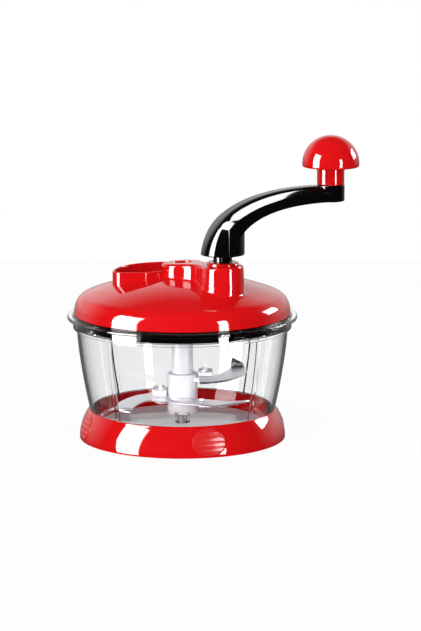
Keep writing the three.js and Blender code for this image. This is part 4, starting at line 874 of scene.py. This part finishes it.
def housing_shell(s):
    """Rows of the housing's plan, one above the other: buried under the crown, out of it in a
    fillet that is a quarter circle, up with a little draft, over a rounded edge that is another,
    and in to the flat top. On the chute's side the wall is plain and goes down to the gear plate."""
    corner, draft, fillet = 3 * MM, 1.3 * MM, 2.2 * MM
    base = housing_plan(s, 0.0)
    spot = rotated(base, CRANK_SIDE)
    bearing = np.arctan2(spot[:, 1], spot[:, 0]) % TURN
    on_lobe = np.hypot(*base.T) < s.lobe_radius + 0.5 * MM
    facing = on_lobe & (bearing > CHUTE_FACING[0]) & (bearing < CHUTE_FACING[1])
    skin_height = crown(s, np.hypot(*spot.T))
    wall_top = housing_top(s, base[:, 0]) - corner

    def row(height, out):
        """The plan at a height, moved outwards, with the draft of the wall off the chute's side."""
        lean = draft * np.clip((wall_top - height) / (wall_top - UNDER_CROWN), 0, 1)
        plan = housing_plan(s, np.where(facing, 0, lean + out))
        return lifted(rotated(plan, CRANK_SIDE), height)

    rows = [row(np.where(facing, INSIDE_FOOT, UNDER_CROWN), fillet),
            row(np.where(facing, UNDER_CROWN, 122 * MM), fillet)]
    for a in np.linspace(0, TURN / 4, 9):
        rows.append(row(skin_height - 0.4 * MM + fillet * (1 - np.cos(a)), fillet * (1 - np.sin(a))))
    foot = rows[-1][:, 2]
    rows += [row(foot + (wall_top - foot) * share, 0) for share in (0.04, 0.3, 0.6, 0.96)]
    quarter = np.linspace(0, TURN / 4, 10)
    for inset, drop in zip([*(corner * (1 - np.cos(quarter))), corner + 0.3 * MM],
                           [*(corner * (1 - np.sin(quarter))), 0]):
        plan = housing_plan(s, -inset)
        rows.append(lifted(rotated(plan, CRANK_SIDE), housing_top(s, plan[:, 0]) - drop))
    grid = np.stack(rows)
    count = grid.shape[1]
    points, faces = grid.reshape(-1, 3), [quads(len(rows), count)]

    # The flat top has a round dimple over the pinion
    angle = np.arange(72) * TURN / 72
    rim = rounded([(9.2 * MM, 0, 0), (8.7 * MM, 0, 0.5 * MM), (8.2 * MM, -1.5 * MM, 0.5 * MM),
                   (5 * MM, -1.5 * MM, 0)])
    dimple = carried_round(rim, angle)
    dimple[..., 2] += housing_top(s, rotated(dimple[..., :2], -CRANK_SIDE)[..., 0])
    start = len(points)
    points = np.concatenate([points, dimple.reshape(-1, 3)])
    loops = [start - count + np.arange(count), start + np.arange(len(angle))]
    faces += [quads(len(rim), len(angle)) + start,
              len(points) - len(angle) + np.arange(len(angle))[None],
              np.concatenate(loops)[cover([points[loop][:, :2] for loop in loops])],
              np.arange(count)[None, ::-1]]
    return points, faces


def chute_shell(s):
    """The chute's wall: a narrow profile with a full round on its rim, carried along the path."""
    path = chute_path(CHUTE_HALF_WALL)
    half, rim = CHUTE_HALF_WALL, s.chute_rim
    section = rounded([(half, INSIDE_FOOT, 0), (half, rim, half * 0.9), (-half, rim, half * 0.9),
                       (-half, INSIDE_FOOT, 0)])
    section = filled(section, 4 * MM)
    plan = path[None] - sideways(np.gradient(path, axis=0))[None] * section[:, None, :1]
    return skin(lifted(plan, section[:, 1:]).transpose(1, 0, 2))


def shaft_collar(s):
    """A ring round the shaft, turned from its bore, its rounded top and its outside."""
    bore, foot = 8.5 * MM, 150 * MM
    line = rounded([(bore, foot, 0), (bore, s.collar_top, 0.4 * MM),
                    (s.collar_radius, s.collar_top, 1.5 * MM), (s.collar_radius, foot, 0)], 8)
    return turned(line, 96, CRANK, closed=True)


def skirt_shell(s):
    """The black skirt, flange and gear plate's edge, with bayonet grooves as a dip of its wall."""
    inner = s.skirt_radius - 3.5 * MM
    lip, seat = 107.6 * MM, 106.8 * MM
    profile = rounded([(inner, s.skirt_foot, 0.4 * MM), (s.skirt_radius, s.skirt_foot, 0.8 * MM),
                       (s.skirt_radius, seat, 0.2 * MM), (s.flange_radius, seat, 0.3 * MM),
                       (s.flange_radius, lip, 0.3 * MM), (inner, lip, 0.2 * MM)], 5, closed=True)
    profile = filled(np.concatenate([profile, profile[:1]]), 0.6 * MM)[:-1]
    edges = np.radians(GROOVE_EDGES)
    near = (RIDGES[:, None, None] + edges[None, :, None] + np.linspace(-0.01, 0.01, 9)).ravel()
    angles = np.unique(np.round(np.concatenate([np.arange(240) * TURN / 240, near]) % TURN, 6))

    def grooves(angle, radius, height):
        """Each groove opens at the skirt's foot over the ridge, and runs on sideways under a ledge."""
        outer = (radius > s.skirt_radius - 1.2 * MM) & (height < GROOVE_TOP)
        for centre in RIDGES:
            a = np.degrees(from_centre(angle, centre))
            start, mouth, end = (smooth(edge - GROOVE_FADE, edge + GROOVE_FADE, a) for edge in GROOVE_EDGES)
            run = smooth(0, 1, a) * (1 - end) * (height > GROOVE_LEDGE)
            radius = radius - GROOVE_DEPTH * np.maximum(start * (1 - mouth), run) * outer
        return radius, height

    return turned(profile, angles, closed=True, shift=grooves)


def gear_plate(s):
    """The plate inside the skirt, with the chute's window and the pinion's bearing hole, and the
    cup under the crank's shaft."""
    angle = np.arange(160) * TURN / 160
    circle = np.column_stack([np.cos(angle), np.sin(angle)])
    lobe = np.arange(CHUTE_FACING[1], CHUTE_FACING[0], -0.05)[::-1]
    lobe = (s.lobe_radius + 0.1 * MM) * np.column_stack([np.cos(lobe), np.sin(lobe)])
    window = np.concatenate([chute_path(2 * CHUTE_HALF_WALL)[1:-1], lobe])
    bearing = 10.9 * MM * circle[::4]
    low, high = 104.5 * MM, 106.5 * MM
    plate = slab((s.skirt_radius - 3.6 * MM) * circle, [window, bearing], low, high)
    cup_r, cup_foot, cup_top = 7.5 * MM, 98.5 * MM, 105 * MM
    cup = rounded([(0, cup_foot, 0), (cup_r, cup_foot, 1 * MM), (cup_r, cup_top, 0.5 * MM), (0, cup_top, 0)])
    return [plate, turned(cup, 64, CRANK)]


# Crank

def bezier(corners, t):
    """A cubic curve through the first and last corner, drawn towards the two between them: the
    corners' shares are the terms of the cube of (1 - t) + t."""
    t = t[:, None]
    a, b, c, d = (np.array(p) for p in corners)
    return a * (1 - t) ** 3 + 3 * b * t * (1 - t) ** 2 + 3 * c * t ** 2 * (1 - t) + d * t ** 3


def arm_curves(s, t):
    """The arm's outer and inner curve, seen from the side: cubic curves that leave the hub
    upright and reach the knob level."""
    rise, under = s.top - s.hub_foot, s.under - s.hub_foot
    outer = bezier([(-s.hub_radius, s.hub_foot), (-0.74 * s.hub_radius, s.hub_foot + 0.65 * rise),
                    (0.25 * ARM_REACH, s.hub_foot + 1.045 * rise), (ARM_REACH, s.top)], t)
    inner = bezier([(4.5 * MM, s.hub_foot), (0.075 * ARM_REACH, s.hub_foot + 0.61 * under),
                    (0.36 * ARM_REACH, s.under), (ARM_REACH, s.under)], t)
    return outer, inner


# Half sections of the arm at the hub and past it, from the side to the middle of its top: share
# of the half width, and share of the way from the inner curve to the outer one
HUB_SECTION = [[1, 0.2], [0.961, 0.421], [0.857, 0.613], [0.695, 0.777], [0.375, 0.944],
               [0.15, 0.991], [0, 1]]
ARM_SECTION = [[1, 0.44], [0.985, 0.52], [0.943, 0.6], [0.7, 0.875], [0.52, 0.965], [0.3, 1], [0, 1]]
FOOT_SECTION = [[0.9, 0], [0.94, 0.006], [0.98, 0.04]]

# Shares of the arm's length over which it narrows, and over which one section becomes the other
NARROWING = 0.15, 1
CHANGING = 0, 0.35


def along_arm(shell):
    """Turn a shell from the crank's own line to where the crank stands at rest."""
    points, faces = shell
    return lifted(CRANK + rotated(points[:, :2], ARM_SIDE), points[:, 2]), faces


def arm_shell(s):
    """Sections between an outer and an inner curve, round at the hub, and then flat on top with
    broad bevels, that narrow from the hub to the knob. A section is a smooth curve through the
    rows of its table, mirrored, and the two tables mix by a smooth step along the arm."""
    t = np.linspace(0, 1, 110)
    outer, inner = arm_curves(s, t)
    half = s.hub_radius + (s.end_width / 2 - s.hub_radius) * smooth(*NARROWING, t)
    mix = smooth(*CHANGING, t)[:, None, None]
    over = spread(HUB_SECTION, 31)[None] * (1 - mix) + spread(ARM_SECTION, 31)[None] * mix
    foot = np.broadcast_to(np.array(FOOT_SECTION), (len(t), len(FOOT_SECTION), 2))
    side = over[:, :1] * np.array([1, 0.5])
    right = np.concatenate([foot, side, over], 1)
    left = right[:, -2::-1] * np.array([-1, 1])
    section = np.concatenate([right, left], 1)
    spine = inner[:, None] + (outer - inner)[:, None] * section[..., 1:]
    return along_arm(skin(np.stack([spine[..., 0], section[..., 0] * half[:, None], spine[..., 1]], 2)))


def hub_shell(s):
    """The knob's side of the hub: half a turned post with rounded edges, whose flat side lies
    inside the arm."""
    angle = np.linspace(-TURN / 4, TURN / 4, 97)
    plan = s.hub_radius * np.column_stack([np.cos(angle), np.sin(angle)])
    top, inset = s.hub_foot + s.hub_height, -3 * MM
    rise = rounded([(inset, s.hub_foot, 0), (0, s.hub_foot, 0.7 * MM), (0, top, 0.9 * MM),
                    (inset, top, 0)], 5)
    return along_arm(outlined(plan, filled(rise, 3 * MM)))


def boss_shell(s):
    """The end boss under the knob: a turned post with rounded edges."""
    foot, pin = s.under - 0.2 * MM, 4.4 * MM
    profile = rounded([(0, foot, 0), (s.boss_radius, foot, 0.8 * MM),
                       (s.boss_radius, s.boss_top, 0.6 * MM), (pin, s.boss_top, 0.2 * MM),
                       (0, s.boss_top, 0)])
    return turned(profile, 128, KNOB)


# Knob

def stem_shell(s):
    """The stem: a turned tube with rounded edges round the pin that it spins on."""
    foot, bore = 218.7 * MM, 4.3 * MM
    return turned(rounded([(bore, foot, 0.3 * MM), (s.stem_radius, foot, 0.8 * MM),
                           (s.stem_radius, s.stem_top, 0.3 * MM), (bore, s.stem_top, 0.3 * MM)],
                          closed=True), 128, KNOB, closed=True)


def cap_shell(s):
    """The cap: a quarter circle from the top to the widest circle, a rounded lip, and the hollow
    that takes the stem and the pin's head, turned about the knob's axis."""
    angle = np.linspace(TURN / 4, 0, 60)
    dome = np.column_stack([s.cap_radius * np.cos(angle), s.cap_centre + s.cap_radius * np.sin(angle)])
    dome[0, 0] = 0
    lip_foot, hollow, head = s.cap_centre - s.cap_lip, 11.8 * MM, 6.8 * MM
    stem_seat, head_top = s.stem_top + GAP, s.stem_top + 3.9 * MM
    lip = rounded([(*dome[-1], 0), (s.cap_radius - 0.3 * MM, lip_foot, 1.6 * MM),
                   (s.lip_radius, lip_foot, 0.8 * MM), (hollow, s.cap_centre - s.cap_lip / 2, 0.4 * MM),
                   (hollow, stem_seat, 0.2 * MM), (head, stem_seat, 0.2 * MM),
                   (head, head_top, 0.2 * MM), (0, head_top, 0)])
    return turned(np.concatenate([dome, lip[1:]]), 192, KNOB)


# Blade unit

NOTCHES, NOTCH = 8, 2.4 * MM
ARM_HALF = 8.5 * MM
ARM_THICK = 3.5 * MM
CLAMP_NEAR, CLAMP_FAR = 13.4 * MM, 25.7 * MM

# The hooked blade that is used twice, as shares of its reach: back edge along and across the
# arm, convex edge along and across, and the share of the bent tip's rise
HOOK_SHARES = [
    [0.223, -0.142, 0.25, -0.57, 0], [0.223, 0.0, 0.35, -0.563, 0], [0.223, 0.142, 0.46, -0.525, 0],
    [0.358, 0.142, 0.55, -0.467, 0], [0.442, -0.033, 0.65, -0.385, 0], [0.5, 0.017, 0.767, -0.208, 0],
    [0.55, 0.117, 0.842, -0.05, 0], [0.597, 0.217, 0.89, 0.083, 0], [0.633, 0.325, 0.917, 0.233, 0],
    [0.67, 0.442, 0.917, 0.367, 0], [0.693, 0.558, 0.893, 0.517, 0], [0.7, 0.583, 0.872, 0.553, 0.5],
    [0.708, 0.603, 0.817, 0.593, 0.8], [0.717, 0.617, 0.742, 0.617, 1],
]

# The front blade, from the lower arm past the hub, as shares of the same reach
FRONT_SHARES = [
    [-0.227, 0.142, -0.433, 0.142], [-0.227, 0, -0.425, -0.017], [-0.22, -0.1, -0.358, -0.167],
    [-0.17, -0.177, -0.222, -0.283], [-0.067, -0.238, -0.05, -0.492], [0.083, -0.25, 0.167, -0.608],
    [0.217, -0.258, 0.333, -0.7], [0.4, -0.308, 0.483, -0.75], [0.567, -0.383, 0.617, -0.692],
    [0.717, -0.4, 0.75, -0.567], [0.833, -0.375, 0.858, -0.467], [0.933, -0.33, 0.943, -0.34],
]


def blade_shell(back, edge, rise, thickness):
    """A sheet between a back line and an edge line, each in plan, lifted by a rise and ground
    thin along the edge: its section is a plate whose top slopes down over the ground width."""
    grind_width, thin = 3 * MM, 0.25 * MM
    wide = np.linalg.norm(edge - back, axis=1)[:, None]
    grind = edge + (back - edge) * np.minimum(1 / 3, grind_width / np.maximum(wide, SAME))
    low = [back + (edge - back) * share for share in (0, 0.25, 0.5, 0.75, 1)]
    high = [edge, grind, *[grind + (back - grind) * share for share in (0.3, 0.7)], back]
    up = np.array([0] * len(low) + [thin] + [thickness] * 4)
    return skin(lifted(np.stack(low + high, 1), rise[:, None] + up))


def hook_blade(s, height, tip_rise, side):
    """Smooth curves through the table's rows in plan; the tip's rise goes straight from row to
    row, so that the bend stays crisp."""
    table = np.array(HOOK_SHARES)
    line = side * spread(table[:, :4], 160) * s.reach
    rise = np.interp(np.linspace(0, len(table) - 1, 160), np.arange(len(table)), table[:, 4])
    return blade_shell(line[:, :2], line[:, 2:], height + tip_rise * rise, s.thickness)


def front_blade(s):
    """Smooth curves through the table's rows in plan, at one height."""
    line = spread(FRONT_SHARES, 160) * s.reach
    return blade_shell(line[:, :2], line[:, 2:], np.full(len(line), s.front), s.thickness)


def blade_hub(s):
    """The hub and stalk in one turned piece: its foot has eight notches, cut as a rise of the
    foot with the angle, and its top has a hexagonal socket, whose radius is the half flat
    divided by the cosine of the angle from a flat's middle."""
    recess, recess_top = 10 * MM, s.hub_foot + 9 * MM
    socket, socket_foot = 4.9 * MM, 86.7 * MM
    profile = filled(rounded([
        (0, recess_top, 0), (recess, recess_top, 0.5 * MM), (recess, s.hub_foot, 0.4 * MM),
        (s.hub_radius, s.hub_foot, 0.5 * MM), (s.hub_radius, s.hub_top, 0.9 * MM),
        (s.stalk_radius, s.hub_top, 0.5 * MM), (s.stalk_radius, s.stalk_top, 0.6 * MM),
        (socket, s.stalk_top, 0.3 * MM), (socket, socket_foot, 0.2 * MM), (0, socket_foot, 0)], 5), 1.2 * MM)

    def notches_and_socket(angle, radius, height):
        """The notches raise what is lower than they are, and the socket's wall becomes a hexagon."""
        across = np.abs(from_centre(angle * NOTCHES, TURN / 2)) / NOTCHES * s.hub_radius
        foot = s.hub_foot + NOTCH * (1 - smooth(2.0 * MM, 2.4 * MM, across))
        low = height < s.hub_foot + NOTCH + 0.01 * MM
        height = np.where(low, np.maximum(height, foot), height)
        flat = np.cos(from_centre(angle * 6, 0) / 6)
        in_socket = (radius < socket + 0.35 * MM) & (height > socket_foot - 0.05 * MM)
        return np.where(in_socket, np.minimum(radius, socket) / flat, radius), height

    return turned(profile, 384, shift=notches_and_socket)


def arms(s):
    """One arm under the upper blade, one between the two lower blades, one under the front one."""
    near, reach, front_reach, corner, edge = 8 * MM, 26 * MM, 31 * MM, 2 * MM, 0.5 * MM
    upper = soft_block(near, reach, -ARM_HALF, ARM_HALF, s.upper - ARM_THICK, s.upper - GAP, corner, edge)
    lower = soft_block(-reach, -near, -ARM_HALF, ARM_HALF, s.left + s.thickness + GAP, s.front - GAP,
                       corner, edge)
    front = soft_block(near, front_reach, -ARM_HALF / 2, ARM_HALF / 2, s.front - ARM_THICK,
                       s.front - GAP, corner, edge, np.radians(-52))
    return [upper, lower, front]


def clamp_shell(s, blade, side, thick):
    """A cap on top of a blade's root, on one side of the hub: a block with rounded edges."""
    low = blade + s.thickness + GAP
    x0, x1 = sorted((side * CLAMP_NEAR, side * CLAMP_FAR))
    return soft_block(x0, x1, -ARM_HALF, ARM_HALF, low, low + thick, 1.8 * MM, 0.7 * MM)


# Operators: one for each piece or group of like pieces, and one for the stage

MATERIALS = {}


class CHOPPER_OT_materials(bpy.types.Operator):
    """Make the finishes and put one on every solid that stays shown"""
    bl_idname = "chopper.materials"
    bl_label = "Finishes"

    def execute(self, context):
        c = context.scene.chopper_colours
        MATERIALS["red"] = moulded_gloss("red_abs_polished", c.red, 0.05)
        MATERIALS["red_etched"] = moulded_gloss("red_abs_etched_grips", c.red, 0.05, matte="etched")
        MATERIALS["black"] = moulded_gloss("black_abs_polished", c.black, 0.06)
        MATERIALS["clear"] = clear_moulded("clear_styrene_polished", c.clear)
        MATERIALS["white"] = satin_moulded("white_acetal_moulded", c.white, 0.32, 1.48, 3 * MM)
        MATERIALS["nylon"] = satin_moulded("nylon_moulded", c.nylon, 0.5, 1.53, 2 * MM)
        MATERIALS["steel"] = ground_steel("stainless_ground", c.blade)
        MATERIALS["pin"] = ground_steel("stainless_turned", c.pin)
        MATERIALS["rubber"] = satin_moulded("rubber_moulded", c.rubber, 0.85, 1.5, 1 * MM)
        slots = {"red_abs": "red", "black_abs": "black", "clear_styrene": "clear", "white_acetal": "white",
                 "nylon": "nylon", "blade_steel": "steel", "pin_steel": "pin", "rubber": "rubber"}
        for part in frame["record"]["subparts"]:
            mesh = frame["nodes"][part["node"]].data
            mesh.materials.clear()
            mesh.materials.append(MATERIALS[slots[part["material_slot"]]])
        return {"FINISHED"}


class CHOPPER_OT_base(bpy.types.Operator):
    """Build the red base ring with its thumb grips"""
    bl_idname = "chopper.base"
    bl_label = "Base Ring"

    def execute(self, context):
        shell, etched = base_shell(context.scene.chopper_base)
        piece("base_ring_skin", [shell], MATERIALS["red_etched"], "base", ["base_ring"], "red_abs",
              mark=("etched", etched))
        return {"FINISHED"}


class CHOPPER_OT_bowl(bpy.types.Operator):
    """Build the clear bowl with its ribs and bayonet ridges"""
    bl_idname = "chopper.bowl"
    bl_label = "Bowl"

    def execute(self, context):
        shell, hazy = bowl_shell(context.scene.chopper_bowl)
        piece("bowl_skin", [shell], MATERIALS["clear"], "bowl", ["bowl"], "clear_styrene", sharp=50,
              mark=("hazy", hazy))
        return {"FINISHED"}


class CHOPPER_OT_lid(bpy.types.Operator):
    """Build the red dome, gear housing, feed chute and shaft collar, and the black gear plate"""
    bl_idname = "chopper.lid"
    bl_label = "Lid"

    def execute(self, context):
        s = context.scene.chopper_lid
        red = [dome_shell(s), housing_shell(s), chute_shell(s), shaft_collar(s)]
        piece("dome_skin", red, MATERIALS["red"], "lid", ["lid_shell"], "red_abs")
        piece("gear_plate_skin", [skirt_shell(s), *gear_plate(s)], MATERIALS["black"], "lid",
              ["lid_base"], "black_abs", sharp=40)
        return {"FINISHED"}


class CHOPPER_OT_crank(bpy.types.Operator):
    """Build the black crank arm with its hub and end boss"""
    bl_idname = "chopper.crank"
    bl_label = "Crank"

    def execute(self, context):
        s = context.scene.chopper_crank
        piece("crank_arm_skin", [arm_shell(s), hub_shell(s), boss_shell(s)], MATERIALS["black"],
              "crank", ["crank_arm"], "black_abs")
        return {"FINISHED"}


class CHOPPER_OT_knob(bpy.types.Operator):
    """Build the red mushroom knob and its stem"""
    bl_idname = "chopper.knob"
    bl_label = "Knob"

    def execute(self, context):
        s = context.scene.chopper_knob
        piece("knob_stem_skin", [stem_shell(s)], MATERIALS["red"], "knob", ["knob_stem"], "red_abs")
        piece("knob_cap_skin", [cap_shell(s)], MATERIALS["red"], "knob", ["knob_cap"], "red_abs")
        return {"FINISHED"}


class CHOPPER_OT_blades(bpy.types.Operator):
    """Build the white blade hub, arms and clamps, and the three steel blades"""
    bl_idname = "chopper.blades"
    bl_label = "Blade Unit"

    def execute(self, context):
        s = context.scene.chopper_blades
        white, steel = (MATERIALS["white"], "blades"), (MATERIALS["steel"], "blades")
        upper = clamp_shell(s, s.upper, 1, 3.6 * MM)
        lower = clamp_shell(s, s.front, -1, 6 * MM)
        hooked = hook_blade(s, s.upper, s.tip_rise, 1)
        left = hook_blade(s, s.left, -s.tip_drop, -1)
        piece("blade_hub_skin", [blade_hub(s), *arms(s)], *white, ["blade_shaft"], "white_acetal", sharp=35)
        piece("upper_clamp_skin", [upper], *white, ["upper_clamp"], "white_acetal")
        piece("lower_clamp_skin", [lower], *white, ["lower_clamp"], "white_acetal")
        piece("upper_blade_skin", [hooked], *steel, ["upper_blade"], "blade_steel", sharp=12)
        piece("left_blade_skin", [left], *steel, ["left_blade"], "blade_steel", sharp=12)
        piece("front_blade_skin", [front_blade(s)], *steel, ["front_blade"], "blade_steel", sharp=12)
        return {"FINISHED"}


# Stage

WHITE = "ffffff"
FLOOR_GREY = "f2f2f2"
FLOOR_REACH = 0.9
FLOOR_DROP = 0.05 * MM          # the feet stand on the floor without sharing its plane
FLOOR_GLOW = 0.95               # share of the floor that glows; the rest takes the shadow
FILL = 0.42                     # strength of the plain light from all sides
LAMP_TARGET = 0.12              # height that the lamps face

# Soft boxes: azimuth from the front towards the knob's side and elevation in degrees, distance,
# width and height in metres, power in watts, and whether the box makes gloss or plain light
SOFT_BOXES = {
    "left_box": (-62, 12.5, 1.5, 0.8, 1.56, 98, "gloss"),
    "right_box": (43.5, 6, 1.5, 0.262, 0.98, 20, "gloss"),
    "top_box": (7.5, 69, 1.5, 1.05, 0.6, 43, "gloss"),
    "side_box": (115, 20, 1.5, 0.55, 0.45, 17, "gloss"),
    "arm_box": (-45, 47, 1.5, 0.95, 0.45, 32, "gloss"),
    "bowl_box": (-12, 6, 2.2, 1.6, 1.0, 17, "plain"),
    "key": (-28, 8, 2.2, 1.6, 1.0, 21, "plain"),
    "high_key": (-10, 55, 2.2, 1.6, 1.6, 12, "plain"),
    "overhead": (10, 80, 2.0, 2.0, 2.0, 9, "plain"),
}

# Soft boxes that are kept off some pieces, as a flag in a studio does, or kept to them
FLAGS = {
    "right_box": ("EXCLUDE", ["crank_arm_skin"]),
    "side_box": ("EXCLUDE", ["crank_arm_skin"]),
    "top_box": ("INCLUDE", ["crank_arm_skin"]),
    "arm_box": ("INCLUDE", ["crank_arm_skin"]),
    "bowl_box": ("INCLUDE", ["blade_hub_skin", "upper_clamp_skin", "lower_clamp_skin"]),
}


def soft_box(name, azimuth, elevation, distance, wide, tall, power, kind):
    """A rectangular lamp that faces the middle of the object: from there it stands at a distance
    times the cosine of its elevation aside, and times the sine of it up."""
    light = bpy.data.lights.new(name, "AREA")
    light.shape = "RECTANGLE"
    light.size, light.size_y, light.energy = wide, tall, power
    target = np.array([*AXIS, LAMP_TARGET])
    a, e = np.radians(azimuth), np.radians(elevation)
    way = np.array([np.cos(e) * np.sin(a), -np.cos(e) * np.cos(a), np.sin(e)])
    lamp = bpy.data.objects.new(name, light)
    lamp.location = target + distance * way
    lamp.rotation_euler = Vector(-way).to_track_quat("-Z", "Y").to_euler()
    gloss = kind == "gloss"
    lamp.visible_glossy = lamp.visible_transmission = gloss
    lamp.visible_diffuse, lamp.visible_camera = not gloss, False
    bpy.context.scene.collection.objects.link(lamp)
    return lamp


def flag(lamp, state, names):
    """Keep a lamp off the named pieces, or keep it to them, by its light linking."""
    group = bpy.data.collections.new(lamp.name + "_flag")
    for name in names:
        group.objects.link(bpy.data.objects[name])
    for linked in group.collection_objects:
        linked.light_linking.link_state = state
    lamp.light_linking.receiver_collection = group


def pale_floor():
    """The floor glows white to the camera and through the bowl, and keeps a faint shadow. A
    mirrored ray passes on to the world."""
    material, tree = new_material("pale_floor")
    path = add(tree, "ShaderNodeLightPath").outputs
    diffuse = add(tree, "ShaderNodeBsdfDiffuse", {"Color": shade(linear(FLOOR_GREY))})
    glow = add(tree, "ShaderNodeEmission", {"Color": shade(linear(WHITE)), "Strength": 1.0})
    seen = add(tree, "ShaderNodeMath", {0: path["Is Camera Ray"], 1: path["Is Transmission Ray"]},
               operation="MAXIMUM")
    lit = add(tree, "ShaderNodeMath", {0: seen.outputs[0], 1: FLOOR_GLOW}, operation="MULTIPLY")
    mix = add(tree, "ShaderNodeMixShader", {0: lit.outputs[0], 1: diffuse.outputs[0], 2: glow.outputs[0]})
    clear = add(tree, "ShaderNodeBsdfTransparent")
    mix = add(tree, "ShaderNodeMixShader", {0: path["Glossy Depth"], 1: mix.outputs[0],
                                            2: clear.outputs[0]})
    add(tree, "ShaderNodeOutputMaterial", {"Surface": mix.outputs[0]})
    mesh = bpy.data.meshes.new("floor")
    x, y = FLOOR_REACH * np.array([[-1, 1, 1, -1], [-1, -1, 1, 1]])
    mesh.from_pydata(np.column_stack([x, y, np.full(4, -FLOOR_DROP)]).tolist(), [], [(0, 1, 2, 3)])
    mesh.materials.append(material)
    floor = bpy.data.objects.new("floor", mesh)
    bpy.context.scene.collection.objects.link(floor)


def studio_world():
    """The world is white to the camera and through the bowl, and a plain fill to matt surfaces.
    Reflections see the pale backdrop behind the object, which fades from about 26 degrees up and
    over the floor, and a dark room elsewhere: each fade is a straight ramp in the direction's
    height or depth, and their product is the strength."""
    world = bpy.data.worlds.new("studio")
    world.use_nodes = True
    tree = world.node_tree
    tree.nodes.clear()
    path = add(tree, "ShaderNodeLightPath").outputs
    place = add(tree, "ShaderNodeTexCoord").outputs["Generated"]
    way = add(tree, "ShaderNodeSeparateXYZ", {"Vector": place}).outputs
    high = add(tree, "ShaderNodeMapRange", {"Value": way["Z"], "From Min": 0.44, "From Max": 0.7,
                                            "To Min": 1.0, "To Max": 0.05})
    low = add(tree, "ShaderNodeMapRange", {"Value": way["Z"], "From Min": -0.2, "From Max": 0.12,
                                           "To Min": 0.12, "To Max": 1.0})
    behind = add(tree, "ShaderNodeMapRange", {"Value": way["Y"], "From Min": 0.1, "From Max": 0.6})
    backdrop = add(tree, "ShaderNodeMath", {0: high.outputs[0], 1: behind.outputs[0]}, operation="MULTIPLY")
    backdrop = add(tree, "ShaderNodeMath", {0: backdrop.outputs[0], 1: low.outputs[0]}, operation="MULTIPLY")
    plain = shade(linear(WHITE))
    fill = add(tree, "ShaderNodeBackground", {"Color": plain, "Strength": FILL})
    room = add(tree, "ShaderNodeBackground", {"Color": plain, "Strength": backdrop.outputs[0]})
    white = add(tree, "ShaderNodeBackground", {"Color": plain, "Strength": 1.0})
    seen = add(tree, "ShaderNodeMath", {0: path["Is Camera Ray"], 1: path["Is Transmission Ray"]},
               operation="MAXIMUM")
    mix = add(tree, "ShaderNodeMixShader", {0: seen.outputs[0], 1: fill.outputs[0], 2: white.outputs[0]})
    mix = add(tree, "ShaderNodeMixShader", {0: path["Glossy Depth"], 1: mix.outputs[0], 2: room.outputs[0]})
    add(tree, "ShaderNodeOutputWorld", {"Surface": mix.outputs[0]})
    return world


def studio_camera(s):
    """A camera in front of the object that looks down at it: its pitch is the arc tangent of the
    height that it loses over its distance."""
    camera = bpy.data.objects.new("camera", bpy.data.cameras.new("camera"))
    camera.data.lens = s.focal_length
    camera.data.sensor_width = 36
    camera.data.sensor_fit = "AUTO"
    camera.data.clip_end = 50
    camera.location = (AXIS[0] + s.camera_side, AXIS[1] - s.camera_distance, s.camera_height)
    pitch = np.arctan2(s.camera_height - s.aim_height, s.camera_distance)
    camera.rotation_euler = (TURN / 4 - pitch, 0, 0)
    bpy.context.scene.collection.objects.link(camera)
    return camera


class CHOPPER_OT_stage(bpy.types.Operator):
    """Set up the pale floor, the soft studio light and the camera"""
    bl_idname = "chopper.stage"
    bl_label = "Stage"

    def execute(self, context):
        scene = context.scene
        scene.view_settings.view_transform = "Standard"
        pale_floor()
        scene.world = studio_world()
        lamps = {name: soft_box(name, *values) for name, values in SOFT_BOXES.items()}
        for name, (state, pieces) in FLAGS.items():
            flag(lamps[name], state, pieces)
        scene.camera = studio_camera(scene.chopper_studio)
        return {"FINISHED"}


PROPERTIES = {
    "chopper_base": ChopperBaseSizes,
    "chopper_bowl": ChopperBowlSizes,
    "chopper_lid": ChopperLidSizes,
    "chopper_crank": ChopperCrankSizes,
    "chopper_knob": ChopperKnobSizes,
    "chopper_blades": ChopperBladeSizes,
    "chopper_colours": ChopperColours,
    "chopper_studio": ChopperStudio,
}
OPERATORS = [CHOPPER_OT_materials, CHOPPER_OT_base, CHOPPER_OT_bowl, CHOPPER_OT_lid, CHOPPER_OT_crank,
             CHOPPER_OT_knob, CHOPPER_OT_blades, CHOPPER_OT_stage]


class CHOPPER_PT_panel(bpy.types.Panel):
    """Lists the chopper's pieces and their sizes"""
    bl_idname = "CHOPPER_PT_panel"
    bl_label = "Food Chopper"
    bl_space_type = "VIEW_3D"
    bl_region_type = "UI"
    bl_category = "Chopper"

    def draw(self, context):
        """One button for each operator, and one box of values for each group"""
        layout = self.layout
        for operator in OPERATORS:
            layout.operator(operator.bl_idname)
        for name, group in PROPERTIES.items():
            box = layout.box()
            for key in group.__annotations__:
                box.prop(getattr(context.scene, name), key)


def register():
    """Register the groups, put one of each on the scene, and register the operators and the panel."""
    for group in PROPERTIES.values():
        bpy.utils.register_class(group)
    for name, group in PROPERTIES.items():
        setattr(bpy.types.Scene, name, bpy.props.PointerProperty(type=group))
    for operator in OPERATORS:
        bpy.utils.register_class(operator)
    bpy.utils.register_class(CHOPPER_PT_panel)


def unregister():
    """Undo what register does, in the opposite order."""
    bpy.utils.unregister_class(CHOPPER_PT_panel)
    for operator in reversed(OPERATORS):
        bpy.utils.unregister_class(operator)
    for name in PROPERTIES:
        delattr(bpy.types.Scene, name)
    for group in reversed(PROPERTIES.values()):
        bpy.utils.unregister_class(group)


def main():
    """Build the finishes, the pieces and the stage."""
    register()
    bpy.ops.chopper.materials()
    bpy.ops.chopper.base()
    bpy.ops.chopper.bowl()
    bpy.ops.chopper.lid()
    bpy.ops.chopper.crank()
    bpy.ops.chopper.knob()
    bpy.ops.chopper.blades()
    bpy.ops.chopper.stage()


if __name__ == "__main__":
    main()
